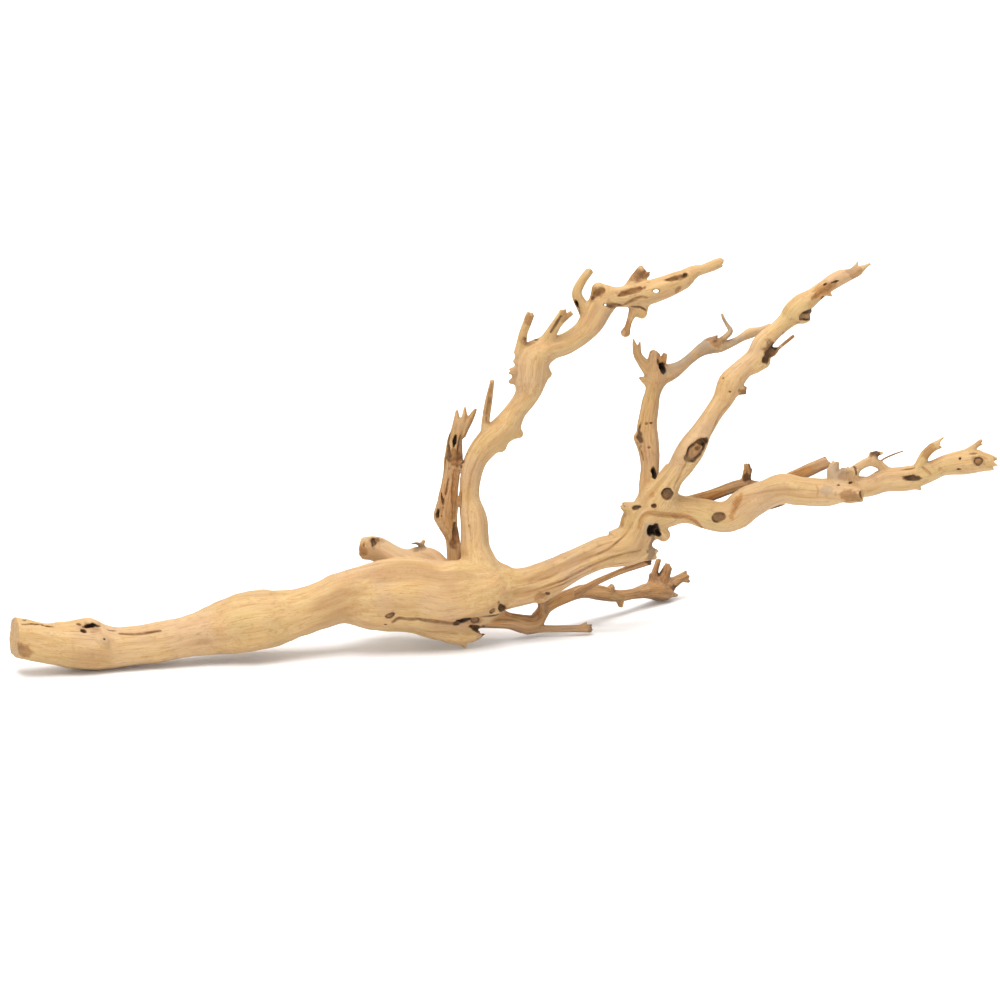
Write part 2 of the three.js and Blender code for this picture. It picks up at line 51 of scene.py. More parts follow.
# The limbs. A sweep is how its tip ends and its stations, and a station is [x, y, z, radius], from
# the root to the tip. A limb's first sweep is the limb itself. The others are its knots, spurs and
# thorns, and lumps of its skin.
BRANCH = {
    "trunk": [
        ("round", [[-232.8, -7, 18.8, 9.6], [-221, -4.5, 15.4, 9.6], [-211, -2, 13.7, 10.6],
            [-200, 0, 12.2, 11.9], [-188, 3, 10.4, 10.1], [-170, 7, 11.2, 9.5], [-151, 11, 13.6, 10.3],
            [-134.5, 15, 16.6, 13], [-122, 17, 19.2, 14.7], [-108, 20, 20.3, 12.9],
            [-93.5, 23, 23.6, 11.7], [-76.5, 27, 28.2, 12.7], [-59.5, 31, 28.2, 17],
            [-44.5, 34, 27.4, 18.4], [-30, 37, 24.6, 18.6], [-15, 40, 26, 16.6],
            [-2.5, 43, 28.2, 11.8]]),
        ("round", [[-202, 1, 17, 7], [-198, 1, 19.3, 5.6]]),
        ("round", [[-46, 28, 14.5, 3.8], [-32, 30, 10.4, 4.6], [-22, 32, 7.9, 4.8]]),
        ("torn", [[-24, 31.5, 8.2, 4.6], [-15, 33.5, 7.2, 4.4], [-9.4, 35.4, 8.8, 3]]),
        ("point", [[-20, 32, 6.5, 3], [-17.3, 32, 0.9, 0.8]]),
        ("round", [[-191, -2, 14, 4.5], [-191, -6, 15.6, 3.3]]),
        ("sawn", [[-12, 36, 17, 3], [-12.2, 28.8, 15.6, 2.2]]),
        ("torn", [[-3, 40, 22, 3], [-3.5, 32.5, 20.3, 1.8]]),
    ],
    "rear_stub": [
        ("sawn", [[-43.5, 48, 37, 7], [-54, 53, 41.4, 6.2], [-62, 57, 44.3, 6.4],
            [-69, 59.5, 44, 5.6]]),
        ("round", [[-46, 53, 41, 4], [-40, 54, 42, 4.4], [-33, 52, 40.5, 4.6], [-27, 48, 36, 4]]),
        ("point", [[-38.4, 54, 45.4, 1.3], [-41, 53.6, 48.2, 0.8], [-44, 53, 48.4, 0.5]]),
        ("torn", [[-38.4, 54, 45, 1.6], [-38.8, 54, 48, 1.1], [-37.4, 54, 50.2, 0.8]]),
    ],
    "split_snag": [
        ("point", [[-22.5, 53, 34, 3.8], [-23.5, 57, 49, 3.6], [-26.4, 60, 58.6, 5.4],
            [-26, 62, 68.5, 5.2], [-24.5, 64, 79.3, 4.6], [-23.5, 66, 89, 4.9], [-22.5, 68, 98, 4],
            [-21.5, 69, 105.5, 2.4], [-21.5, 70, 112, 0.6]]),
        ("point", [[-20.5, 68, 101, 2.6], [-18, 69, 108, 1.7], [-17.5, 70, 114, 0.6]]),
        ("point", [[-19, 68, 101, 2.2], [-15, 69, 108.5, 1.5], [-12.5, 69, 113.5, 0.6]]),
        ("torn", [[-29, 60, 66, 3], [-31.5, 60, 61.5, 2], [-31.6, 60, 57.5, 1]]),
        ("torn", [[-22, 64, 86, 3], [-16.6, 63, 85, 1.5]]),
    ],
    "upright_limb": [
        ("torn", [[-7.5, 43, 31, 11.6], [-10.4, 46, 39.5, 9], [-12.5, 50, 48.4, 7.1],
            [-13, 54, 60.2, 6.6], [-15, 57, 69.8, 4.9], [-14.7, 59, 79.7, 4.9], [-12, 61, 89.5, 5.4],
            [-6, 62, 98, 6.8], [2, 63, 105, 7], [8, 64, 113.8, 5.5], [13.4, 65, 121.7, 6],
            [15.4, 66, 130.6, 8.2], [17, 67, 140, 8.2], [24.2, 68, 144.5, 6], [32.6, 69, 146.7, 5.4],
            [40.5, 71, 151.7, 5.2], [46, 72, 158, 6.4], [49.5, 73, 164.3, 6.7], [55.4, 74, 168.6, 5.4],
            [62.8, 75, 169.4, 5.3], [71, 76, 170.4, 6.1], [79, 77, 172.6, 5.9], [85, 78, 174.8, 5.4],
            [91, 79, 177.2, 4.7], [96, 80, 180.8, 3.3], [100.5, 80.5, 182, 2.5],
            [105, 81, 183.6, 2.7], [111, 82, 186, 2.5]]),
        ("torn", [[-7, 61, 102, 2.8], [-7.2, 61.5, 108, 2.2], [-5.6, 62.5, 119, 1.8],
            [-3.6, 64, 130, 1.1]]),
        ("torn", [[10, 66, 143, 3.2], [11.5, 65, 152.5, 2.2], [13.3, 64, 158, 2.2],
            [15.3, 64, 163.6, 2.1]]),
        ("torn", [[22, 67, 147, 3.6], [27.4, 65, 156.7, 2.6], [32.4, 64, 165, 2.2]]),
        ("torn", [[29, 65, 158, 1.8], [35.6, 64, 163.6, 1.3]]),
        ("torn", [[42, 73, 163, 3.4], [38, 73, 170.7, 2.5], [40.3, 74, 176.9, 2.2],
            [45, 74, 183.5, 2]]),
        ("round", [[50, 73, 166, 5], [52.5, 73.5, 171.8, 3.6]]),
        ("round", [[49, 73, 167, 4.4], [48.6, 74, 173.2, 3.4]]),
        ("torn", [[64, 77, 172, 3.4], [67, 78, 177.4, 2.8], [71, 80, 183.4, 1.9]]),
        ("torn", [[68, 78, 176, 2.6], [74, 80, 180.4, 1.3]]),
        ("round", [[67, 75, 164, 2.8], [64.5, 74.5, 157.6, 1.6], [63.3, 74, 153.6, 1.7],
            [62.5, 74, 151.4, 2.5]]),
        ("round", [[70, 75.5, 165, 4], [70.3, 75, 161, 2.9]]),
        ("torn", [[9, 65.5, 133.6, 3], [4.6, 65, 133.4, 1.7]]),
        ("round", [[9, 65, 129.5, 2.8], [5.4, 65, 128.4, 1.3]]),
        ("round", [[9.5, 66, 139, 2.6], [7.4, 66, 138.6, 1.2]]),
        ("round", [[20, 66, 132.5, 4], [24.2, 66, 132, 1.6]]),
        ("torn", [[-3, 62, 98, 4], [3, 61, 94.6, 1.6]]),
        ("round", [[6, 63, 104, 4], [9.5, 63, 102.3, 2.2]]),
    ],
    "middle_limb": [
        ("round", [[-4, 43, 28.2, 10], [10, 45, 28.3, 9.2], [22.5, 48, 31.3, 9], [37.6, 51, 38.4, 7.8],
            [50, 54, 42.8, 8], [62.5, 57, 45, 8.4], [68, 60, 51.5, 9], [72, 62, 59.5, 9.4],
            [83, 63, 63.5, 8.3]]),
        ("torn", [[64, 58, 44.5, 7.6], [76.5, 61, 43.8, 6]]),
        ("round", [[76, 60, 57, 5], [82, 59, 51.2, 3.6]]),
        ("point", [[60, 57, 51, 4], [55, 56, 53.2, 0.8]]),
        ("torn", [[66, 60, 64, 4], [60.8, 59, 66.5, 1.6]]),
        ("torn", [[22, 46, 24, 3], [19.5, 43, 21.5, 1.8]]),
    ],
    "back_limb": [
        ("round", [[76, 64, 64, 7], [75, 69, 75.9, 5.2], [75.3, 72, 84, 4.7], [74.5, 75, 93.6, 5.5],
            [74, 78, 103.2, 4.9], [75.5, 81, 112.8, 4.4], [77, 83, 119.1, 3.9], [78.6, 85, 126, 5.1],
            [78.4, 86, 131.5, 4.6]]),
        ("point", [[75, 86, 129.5, 3.2], [69.5, 87, 136.8, 2.2], [68, 88, 141.2, 1.5],
            [67, 88, 145.3, 0.5]]),
        ("point", [[69.5, 87, 137, 1.8], [70.3, 87.5, 143.6, 0.6]]),
        ("torn", [[77.5, 86, 131, 3.4], [77.6, 85, 139.8, 2.6]]),
        ("torn", [[81, 86, 130, 2.4], [83, 84, 139, 1.2]]),
        ("point", [[75, 84, 124, 2.6], [70.6, 84, 126.2, 0.8]]),
        ("point", [[79, 66, 83, 1], [79.4, 66, 90, 0.8], [80, 66, 94.5, 0.4]]),
        ("point", [[79.5, 64, 82, 1.2], [82.4, 63, 86.3, 0.5]]),
        ("round", [[72, 76, 96, 4], [69.8, 75, 97.5, 2.6]]),
    ],
    "back_arm": [
        ("round", [[79, 86, 126, 4.4], [84.5, 87, 128, 4.4], [90.7, 88, 130.9, 3.2],
            [95.9, 90, 134.6, 2.8], [101, 92, 138.3, 3.2], [106.7, 94, 140.6, 4.2],
            [111.3, 96, 139.8, 3.2], [117.5, 98, 141.3, 2.1], [122.6, 100, 143.6, 2],
            [127.3, 101, 146, 2.7], [132, 102, 147, 1.9], [137, 103, 149, 1.3]]),
        ("point", [[109.5, 95, 141.5, 1.9], [114.3, 96, 145.1, 1.6], [116.6, 97, 147.7, 1.5],
            [114.9, 98, 150.6, 1.1], [113, 98, 153.8, 0.9], [112.3, 98, 155.9, 0.7]]),
        ("point", [[105, 94, 142, 2.4], [109.8, 95, 145.6, 0.6]]),
    ],
    "diagonal_limb": [
        ("torn", [[79, 62, 68, 8.4], [85.5, 60, 79.9, 5.8], [90, 59, 86.9, 6], [94.6, 58, 95.5, 6.8],
            [100, 59, 104.4, 5.2], [105.8, 60, 113.8, 4.5], [110.7, 62, 120.8, 5.4],
            [114, 64, 127.9, 6.3], [119.5, 66, 134.1, 5.1], [126.5, 68, 139.8, 5],
            [130.3, 69, 147.1, 4.7], [136.8, 71, 153.3, 3.8], [142.7, 73, 158.3, 4.4],
            [148.1, 74, 164.3, 5.5], [154.5, 76, 168.9, 4.2], [160.5, 77, 173.4, 3.7],
            [167.5, 79, 177.5, 3.9], [173.5, 81, 179.2, 2.8], [178, 82, 181.1, 2.4],
            [181.5, 83, 183, 1.1], [184.4, 84, 184.4, 0.7]]),
        ("sawn", [[115, 63, 125, 3], [122, 62, 124.6, 1.9]]),
        ("round", [[126.5, 67, 137, 4.6], [130, 66.5, 138.5, 4]]),
        ("round", [[146, 73.5, 161.5, 5], [150, 72.5, 160, 4]]),
        ("torn", [[129, 68, 141, 3], [134.5, 66.5, 143.2, 2.6], [136.5, 66.3, 144.5, 1.6],
            [138.5, 66, 145.8, 0.9], [145.6, 67, 151.6, 0.9]]),
        ("point", [[161, 77, 171.5, 2], [164.4, 77, 169.4, 0.6]]),
        ("point", [[176, 82, 182, 1.4], [177.6, 82, 185.4, 0.5]]),
    ],
    "right_limb": [
        ("torn", [[84, 63.5, 62.5, 7.4], [95.3, 64, 62.7, 6.8], [110.2, 63, 59.6, 7.8],
            [117.7, 62, 61.2, 8.4], [124, 61, 67.2, 8.4], [132.4, 60, 71.6, 7.2],
            [141.2, 58, 75.6, 7.3], [150.1, 57, 74.2, 7.1], [161.4, 56, 74.2, 6.9],
            [170.2, 55, 76.1, 6.8], [178.1, 55, 77.1, 5.8], [183.9, 54, 77.8, 5.1],
            [191.2, 54, 80.9, 5.8], [201.5, 53, 82, 6.2], [207.3, 53, 83.3, 5.5],
            [214.1, 52, 86.2, 4.8], [220.5, 52, 88.8, 5.2], [230.8, 51, 90.8, 6.1],
            [237.5, 50, 91.1, 4.9], [243.6, 50, 90.4, 3.4]]),
        ("torn", [[167, 54, 80, 4.2], [165, 53.5, 85.6, 3], [166.6, 53, 91, 1.7]]),
        ("torn", [[171, 53, 80, 3.6], [170.8, 52.5, 87.6, 2]]),
        ("torn", [[174.5, 53, 81, 3.4], [176.2, 52.5, 87.4, 1.9]]),
        ("round", [[170, 54, 80, 3], [177.5, 54, 87.4, 2.2], [184, 54, 90.3, 2.3], [190, 54, 87.2, 2.2],
            [194, 54, 82, 2.6]]),
        ("torn", [[184.5, 54, 91, 2.4], [185.3, 54, 95.4, 2.3]]),
        ("torn", [[185, 54, 94, 1.4], [189.4, 54, 94.8, 0.9]]),
        ("torn", [[207, 52.5, 85, 3], [209.6, 52, 93.4, 2.5], [213.2, 52, 97.6, 2.3],
            [217.4, 52, 99.4, 1.8]]),
        ("point", [[213, 52, 98.5, 1.6], [218.6, 52, 102.9, 0.5]]),
        ("torn", [[228, 51, 93.5, 2.4], [234.3, 51, 98.8, 1.5], [236.6, 51, 100.6, 1.5],
            [238, 51, 101.6, 1.8]]),
        ("sawn", [[166, 51, 75, 4.2], [173, 47.6, 74.6, 3.8], [179, 45.6, 75.4, 3.4]]),
        ("round", [[231, 50, 94.5, 2.2], [236.4, 50, 96, 1.3]]),
        ("point", [[205, 51, 79.5, 2.2], [207.9, 50, 77.3, 0.9]]),
        ("point", [[129.5, 63, 63, 1.2], [136, 63, 65, 1.6], [142, 62, 66.6, 1]]),
        ("point", [[238, 50, 93.5, 2.6], [244.8, 50, 92.8, 0.9]]),
    ],
    "rear_twig": [
        ("torn", [[93, 69, 64.3, 3.6], [108.5, 75, 68.1, 3], [122.3, 79, 71.7, 3.1],
            [136.8, 82, 70.5, 2.7], [152, 84, 76, 3.2], [159.7, 85, 79.3, 3.2],
            [166.6, 85.5, 82.2, 3]]),
        ("torn", [[124.5, 79.5, 73, 2.4], [125.4, 80, 79.4, 1.9], [124.7, 80, 83, 1.4]]),
        ("point", [[125.6, 80, 76, 1.2], [127.4, 80, 79.6, 0.6]]),
    ],
    "lower_twig": [
        ("round", [[-15, 38, 13, 3.6], [-5, 42, 11.7, 3.6], [5, 45.5, 10.2, 3.8], [12.5, 49, 7.2, 4.4],
            [18, 52, 7.4, 4], [22.3, 57, 12.3, 3.1], [28.3, 62, 15, 3.1], [36, 68, 16.9, 3.3],
            [43.2, 73, 17.3, 3.5], [51.1, 80, 14.4, 3.8], [60.7, 88, 10.2, 3.2], [69.8, 97, 8.6, 3],
            [78, 105, 7.6, 4.2], [86, 112, 5.6, 5.3]]),
        ("round", [[-5, 42, 18.5, 3], [3.5, 44.5, 13, 2.1], [10.5, 48, 7.5, 2.2]]),
        ("round", [[21.6, 55.5, 11.6, 2.8], [21, 52, 16, 2.1], [20.6, 49.5, 20, 2.3], [20, 48, 24, 3]]),
        ("round", [[20.8, 49, 23, 2.6], [20.2, 41.6, 25.4, 2.3]]),
        ("torn", [[79, 108, 8, 2.6], [81.2, 112, 15.5, 1.6], [83.6, 114.5, 22.8, 1.4]]),
        ("torn", [[83, 110, 6.6, 4.2], [86.6, 114, 13.4, 2.8], [89, 116.5, 18.8, 2.2]]),
        ("torn", [[86, 112, 6.6, 3.8], [93.5, 117, 10, 2.5], [99.4, 119.8, 12.6, 2.2]]),
        ("torn", [[96, 118, 10.4, 1.6], [100.4, 118, 8.6, 0.8]]),
        ("point", [[87, 112, 4, 2.6], [93.5, 116, 2, 0.7]]),
        ("torn", [[56, 83, 14, 2], [58.5, 83, 17.8, 1.6]]),
        ("round", [[62, 88, 9, 2.2], [62.5, 88, 5.3, 1.5]]),
        ("point", [[82, 109, 9, 3], [79.4, 110, 14.6, 1.2]]),
    ],
    "lower_spur": [
        ("torn", [[14, 49, 4.6, 2.4], [22.6, 51, 4.4, 1.9], [34, 53, 3.8, 1.8], [46.3, 55, 3.2, 2.2]]),
        ("torn", [[40, 54, 3.6, 1.5], [44, 54, 6.6, 0.9]]),
    ],
    "strip_twig": [
        ("torn", [[37, 67, 17, 2], [44, 67, 21.4, 1.8], [50.5, 66, 25.3, 1.7], [63, 68, 30.2, 1.7],
            [76.6, 70, 34.2, 1.9]]),
    ],
    "dry_fibre": [
        ("point", [[186.6, 54, 88.4, 0.6], [190, 54, 91.6, 0.5], [195, 54.2, 94, 0.42],
            [199.6, 54.5, 95.6, 0.35]]),
    ],
}

# A limb's voxel size in millimetres, how rough its skin is, how brown and how grey its wood is, and
# how much painted shade darkens and browns its underside.
LIMB_LOOKS = {
    "trunk": (0.6, 0.65, 0.0, 0.12, 0.0),
    "rear_stub": (0.44, 0.8, 0.12, 0.2, 0.0),
    "split_snag": (0.4, 2.9, 0.3, 0.3, 0.1),
    "upright_limb": (0.44, 0.75, 0.03, 0.1, 0.0),
    "middle_limb": (0.47, 1.2, 0.1, 0.25, 0.0),
    "back_limb": (0.42, 1.0, 0.28, 0.1, 0.0),
    "back_arm": (0.375, 1.2, 0.05, 1.5, 0.1),
    "diagonal_limb": (0.42, 0.75, 0.0, 0.1, 0.0),
    "right_limb": (0.44, 0.7, 0.0, 0.15, 0.0),
    "rear_twig": (0.4, 1.5, 0.6, 0.2, 0.75),
    "lower_twig": (0.4, 1.6, 0.6, 0.25, 0.3),
    "lower_spur": (0.355, 1.0, 0.35, 0.5, 0.1),
    "strip_twig": (0.355, 1.2, 0.6, 0.2, 0.3),
    "dry_fibre": (0.2, 0.3, 0.9, 0.5, 0.0),
}

# Marks on the skin. Each lies on the front of the branch at its x and z, or on the back for a table
# whose name ends in BEHIND.
FRONT, BACK = -1, 1

# How dark, brown, golden and grey each tint makes the wood.
TINTS = {
    "black": (1.0, 1.0, 0.0, 0.0),
    "dark": (0.62, 1.0, 0.0, 0.0),
    "brown": (0.1, 0.9, 0.3, 0.0),
    "bark": (0.34, 0.95, 0.1, 0.0),
    "rust": (0.04, 0.68, 0.3, 0.0),
    "umber": (0.03, 0.52, 0.12, 0.0),
    "russet": (0.0, 0.5, 0.45, 0.0),
    "tan": (0.03, 0.42, 0.2, 0.0),
    "faint": (0.0, 0.3, 0.1, 0.0),
    "gold": (0.0, 0.15, 0.85, 0.0),
    "ochre": (0.0, 0.12, 0.5, 0.0),
    "haze": (0.0, 0.1, 0.0, 0.35),
    "grey": (0.0, 0.1, 0.0, 0.7),
    "smoke": (0.4, 0.35, 0.0, 0.5),
}

# Hollows: x, z, half width, half height, depth, lean in degrees, tint, and the limb if not the first.
# The black and dark tints of the hollows are painted shade inside the pits.
HOLLOWS = [
    (-227.6, 27.4, 0.9, 0.6, 1, 0, "dark"),
    (-197, 23.7, 3, 1.3, 3, 20, "black"),
    (-199.6, 22, 1.3, 0.9, 1.6, -30, "dark"),
    (-194, 23.2, 1.8, 0.9, 1.6, -10, "dark"),
    (-202.2, 24.2, 1.3, 0.8, 1, -20, "brown"),
    (-189.5, 18.2, 0.6, 0.6, 1.4, 0, "dark"),
    (-56, 16.9, 0.6, 0.6, 1.6, 0, "dark"),
    (-42, 20.4, 0.8, 0.6, 0.8, 0, "tan"),
    (-18.2, 17.2, 3.6, 1.5, 3.4, 16, "black"),
    (-21.4, 15.6, 1.8, 0.9, 2, 0, "dark"),
    (1.2, 20.2, 5.4, 1.6, 4, -20, "dark"),
    (-12, 11.4, 4.6, 1.5, 3, -18, "dark"),
    (-63.2, 49.2, 1.5, 2.6, 2.6, 12, "dark", "rear_stub"),
    (-61.6, 50, 1.6, 1.4, 1.4, 0, "brown", "rear_stub"),
    (-68.2, 47, 0.6, 1, 1, 0, "brown", "rear_stub"),
    (37.8, 166.4, 1.2, 1.8, 3, 0, "black"),
    (48, 172, 3.6, 2, 3, 28, "rust"),
    (45.6, 169.8, 1.5, 1.3, 2.6, 40, "dark"),
    (17.6, 149.4, 1.2, 0.7, 1, 0, "dark"),
    (12.4, 150.2, 1.6, 0.9, 0.7, 0, "brown"),
    (64.9, 172.7, 6.2, 1.6, 2.2, 20, "rust"),
    (87.6, 178.9, 5.3, 1.5, 1.9, 15, "rust"),
    (91.4, 180, 1.3, 1, 1.9, 40, "dark"),
    (88, 173.3, 1.3, 2.3, 0.9, -20, "russet"),
    (-22.6, 98.4, 0.9, 2.6, 2.6, -10, "black"),
    (-25.6, 93, 1.3, 4, 1.6, 6, "dark"),
    (-30.8, 62.4, 1, 2.4, 2, -20, "dark"),
    (-28.2, 70, 0.9, 3.4, 1.4, 8, "brown"),
    (76.2, 54.9, 2.9, 3.2, 7, 35, "black"),
    (78.8, 52.6, 1.8, 1.6, 5, 0, "black"),
    (68, 66, 2, 1.3, 1.6, 20, "dark"),
    (76.6, 67.6, 1.4, 0.9, 1.4, 0, "dark"),
    (77.5, 80.7, 1.3, 3.4, 3, 14, "black"),
    (81.4, 131.6, 1.8, 2.6, 4.2, 10, "black"),
    (79.6, 134.4, 0.8, 2.2, 1.4, 10, "brown"),
    (73.4, 105, 0.8, 0.7, 0.6, 0, "brown"),
    (75.7, 105.2, 0.7, 0.6, 0.6, 0, "brown"),
    (74.7, 93.6, 0.8, 0.7, 0.7, 0, "brown"),
    (71.2, 90, 0.5, 2.8, 0.6, 6, "brown"),
    (108.8, 143.6, 2, 1, 1, 20, "brown"),
    (100.6, 100.9, 2.3, 1.7, 3, 35, "dark"),
    (98, 97.4, 1, 0.8, 1.6, 35, "dark"),
    (110, 131.2, 0.6, 0.5, 1, 0, "brown"),
    (113.5, 124.9, 0.6, 0.5, 1, 0, "brown"),
    (132.6, 142.2, 1.9, 5, 2.6, -32, "dark"),
    (135.6, 145.8, 1.6, 2.4, 1.6, -20, "black"),
    (160.6, 175.6, 1, 0.5, 1, 30, "dark"),
    (161.6, 173.2, 0.8, 0.5, 1, 30, "dark"),
    (165.6, 176.8, 2, 0.5, 1.2, 20, "dark"),
    (156, 170.4, 0.8, 0.6, 1, 30, "dark"),
    (167.4, 79.4, 0.8, 0.5, 1, 0, "brown"),
    (173.4, 80.6, 0.9, 0.5, 1, 20, "dark"),
    (177.8, 76, 1.3, 2.2, 1, 0, "dark"),
    (203.4, 83.6, 4.6, 1.3, 2.2, 0, "dark"),
    (201.5, 87.6, 3.2, 0.7, 0.9, 6, "brown"),
    (226.6, 93.6, 0.6, 0.6, 1.4, 0, "dark"),
    (226.1, 88.4, 0.9, 0.5, 1.4, 0, "dark"),
    (216.9, 88.6, 0.9, 1.4, 0.4, 0, "tan"),
]
HOLLOWS_BEHIND = [
    (-140, 20, 3, 1.8, 2.6, 0, "dark"),
    (-71, 34, 2.2, 2.6, 3, 0, "dark"),
    (-30, 20, 4.2, 2.4, 3.6, 0, "black"),
    (30, 33, 2, 1.4, 2, 0, "dark"),
    (17, 138, 3, 3.6, 3.2, 0, "dark"),
    (74, 55, 3.4, 2.6, 3.4, 0, "dark"),
    (104, 110, 1.6, 2.2, 2.2, 0, "dark"),
    (132, 72, 2.6, 1.6, 2.4, 0, "dark"),
    (220, 89, 1.8, 1.4, 1.8, 0, "dark"),
]

# Holes that go right through: x, z, half width, half height.
PIERCED = [
    (51.7, 166.6, 0.7, 0.6),
    (76.9, 172.8, 1.6, 0.9),
]
PIERCED_WAY = np.array([0.064, 0.982, -0.178])  # back through the limb, and a little down
PIERCED_REACH = 16.0

# Grown-over knots, a dark groove round a sunk core: x, z, half width, half height, lean, core tint.
KNOTS = [
    (96.6, 96.2, 6.4, 3.5, 58, "rust"),
    (83.2, 73.6, 2.8, 2.9, 0, "bark"),
    (109.2, 61.2, 3.2, 2.4, 15, "bark"),
    (235.4, 92.6, 2.3, 1.9, 40, "brown"),
    (-53.6, 22.4, 2.3, 1.3, 25, "brown"),
    (-12.2, 16.2, 2.2, 1.9, 0, "brown"),
    (-3.5, 20.6, 1.7, 1.5, 30, "brown"),
    (152, 160.8, 3.9, 2.4, 15, "rust"),
]
KNOTS_BEHIND = [
    (-122, 24, 4.6, 2.6, 20, "faint"),
    (-52, 30, 5.4, 3.6, -25, "umber"),
    (66, 52, 3.4, 3, 0, "brown"),
    (124, 68, 3.2, 3.4, 0, "dark"),
    (150, 168, 2.2, 2.6, 0, "brown"),
]

# Cracks and channels: radius, tint, then their points x, z.
# The black and dark tints of the cracks are painted shade inside the splits.
CRACKS = [
    (0.5, "brown", [(-228, 26.4), (-220.6, 24.9), (-211.6, 23)]),
    (0.45, "dark", [(-189, 20.7), (-185.4, 19.8)]),
    (0.6, "bark", [(-183.4, 18.7), (-175.6, 18.1), (-163.6, 18.8)]),
    (0.75, "bark", [(-52.6, 18.6), (-49.4, 21), (-44.2, 19.9), (-39.3, 20.2)]),
    (1.05, "bark", [(-40, 20.1), (-33.5, 18.8), (-24.6, 16.6), (-18.7, 16.6)]),
    (0.45, "dark", [(-49.6, 21), (-39.3, 20.2), (-29, 17.6), (-18.7, 16.8)]),
    (0.5, "dark", [(-12, 17.6), (-7, 18), (-2, 17.4), (4, 17.6)]),
    (0.5, "tan", [(-40, 12.6), (-30, 11.2), (-21, 9.6)]),
    (1, "brown", [(-4.2, 127.6), (-5.4, 119), (-6.8, 110)]),
    (0.45, "dark", [(-4.4, 125), (-5.4, 118), (-6.6, 111.4)]),
    (0.5, "brown", [(39.3, 164.8), (39.4, 160.2)]),
    (0.55, "dark", [(25, 153.8), (27.6, 158), (30, 162)]),
    (1.2, "dark", [(52.6, 166.4), (56, 165.8), (60.2, 165.2)]),
    (0.75, "brown", [(60.4, 165.4), (64.2, 167.8), (69.1, 169.9), (72.4, 169.7)]),
    (0.45, "dark", [(65.1, 164.9), (69.5, 164.6), (72.1, 163)]),
    (1.5, "gold", [(-22.6, 83.6), (-23, 72), (-23.2, 60.2)]),
    (1, "dark", [(-22.8, 58), (-22.8, 53), (-22.6, 48)]),
    (0.6, "dark", [(-24.6, 104), (-26.6, 92), (-27.4, 82)]),
    (0.5, "brown", [(-25.6, 80), (-27.6, 70), (-29, 60)]),
    (0.5, "dark", [(-19.6, 101), (-21.6, 92)]),
    (0.5, "brown", [(-19, 74), (-19.4, 64), (-20, 56)]),
    (0.55, "umber", [(6, 31), (22, 34), (38, 41.5), (52, 46), (61, 51.5), (66, 59)]),
    (0.55, "umber", [(10, 27), (30, 32.5), (46, 39.5), (60, 44), (70, 45.6)]),
    (0.4, "faint", [(16, 36), (30, 40), (44, 46), (56, 50)]),
    (0.4, "faint", [(20, 27.5), (34, 32), (50, 37.6), (66, 40)]),
    (1.3, "gold", [(69.4, 56.4), (70.6, 61.2), (74, 63.6), (79, 63.4), (86.5, 62.4), (94.6, 60.4),
        (99, 57.6), (102, 54.6)]),
    (0.4, "tan", [(92.3, 90.6), (89, 83), (86.2, 76.1)]),
    (0.8, "black", [(149, 162), (152.4, 162.9), (155.8, 163.1)]),
    (1.5, "gold", [(154.5, 168.8), (160.1, 172.2), (165.6, 176)]),
    (0.4, "faint", [(156.8, 78.6), (157.8, 76.2), (157, 73.8)]),
    (0.5, "dark", [(175.2, 87.8), (176.2, 84.6)]),
    (0.6, "tan", [(208.5, 88.6), (212.5, 85.4)]),
    (0.5, "brown", [(231.4, 95.6), (234.8, 96)]),
    (0.4, "faint", [(120, 72), (134, 75.4), (148, 76.8), (158, 76)]),
    (0.4, "faint", [(104, 104), (108, 113), (113, 119)]),
    (0.4, "faint", [(-14.5, 54), (-16, 68), (-14, 84), (-8, 97)]),
]
CRACKS_BEHIND = [
    (0.6, "dark", [(-214, 15), (-190, 12), (-168, 14), (-150, 13)]),
    (0.6, "brown", [(-112, 22), (-90, 26), (-66, 32), (-48, 26)]),
    (0.6, "brown", [(4, 30), (26, 35), (46, 41), (62, 47)]),
    (0.6, "brown", [(90, 66), (112, 64), (136, 75), (160, 75)]),
    (0.5, "brown", [(-12, 56), (-15, 76), (-8, 94)]),
]

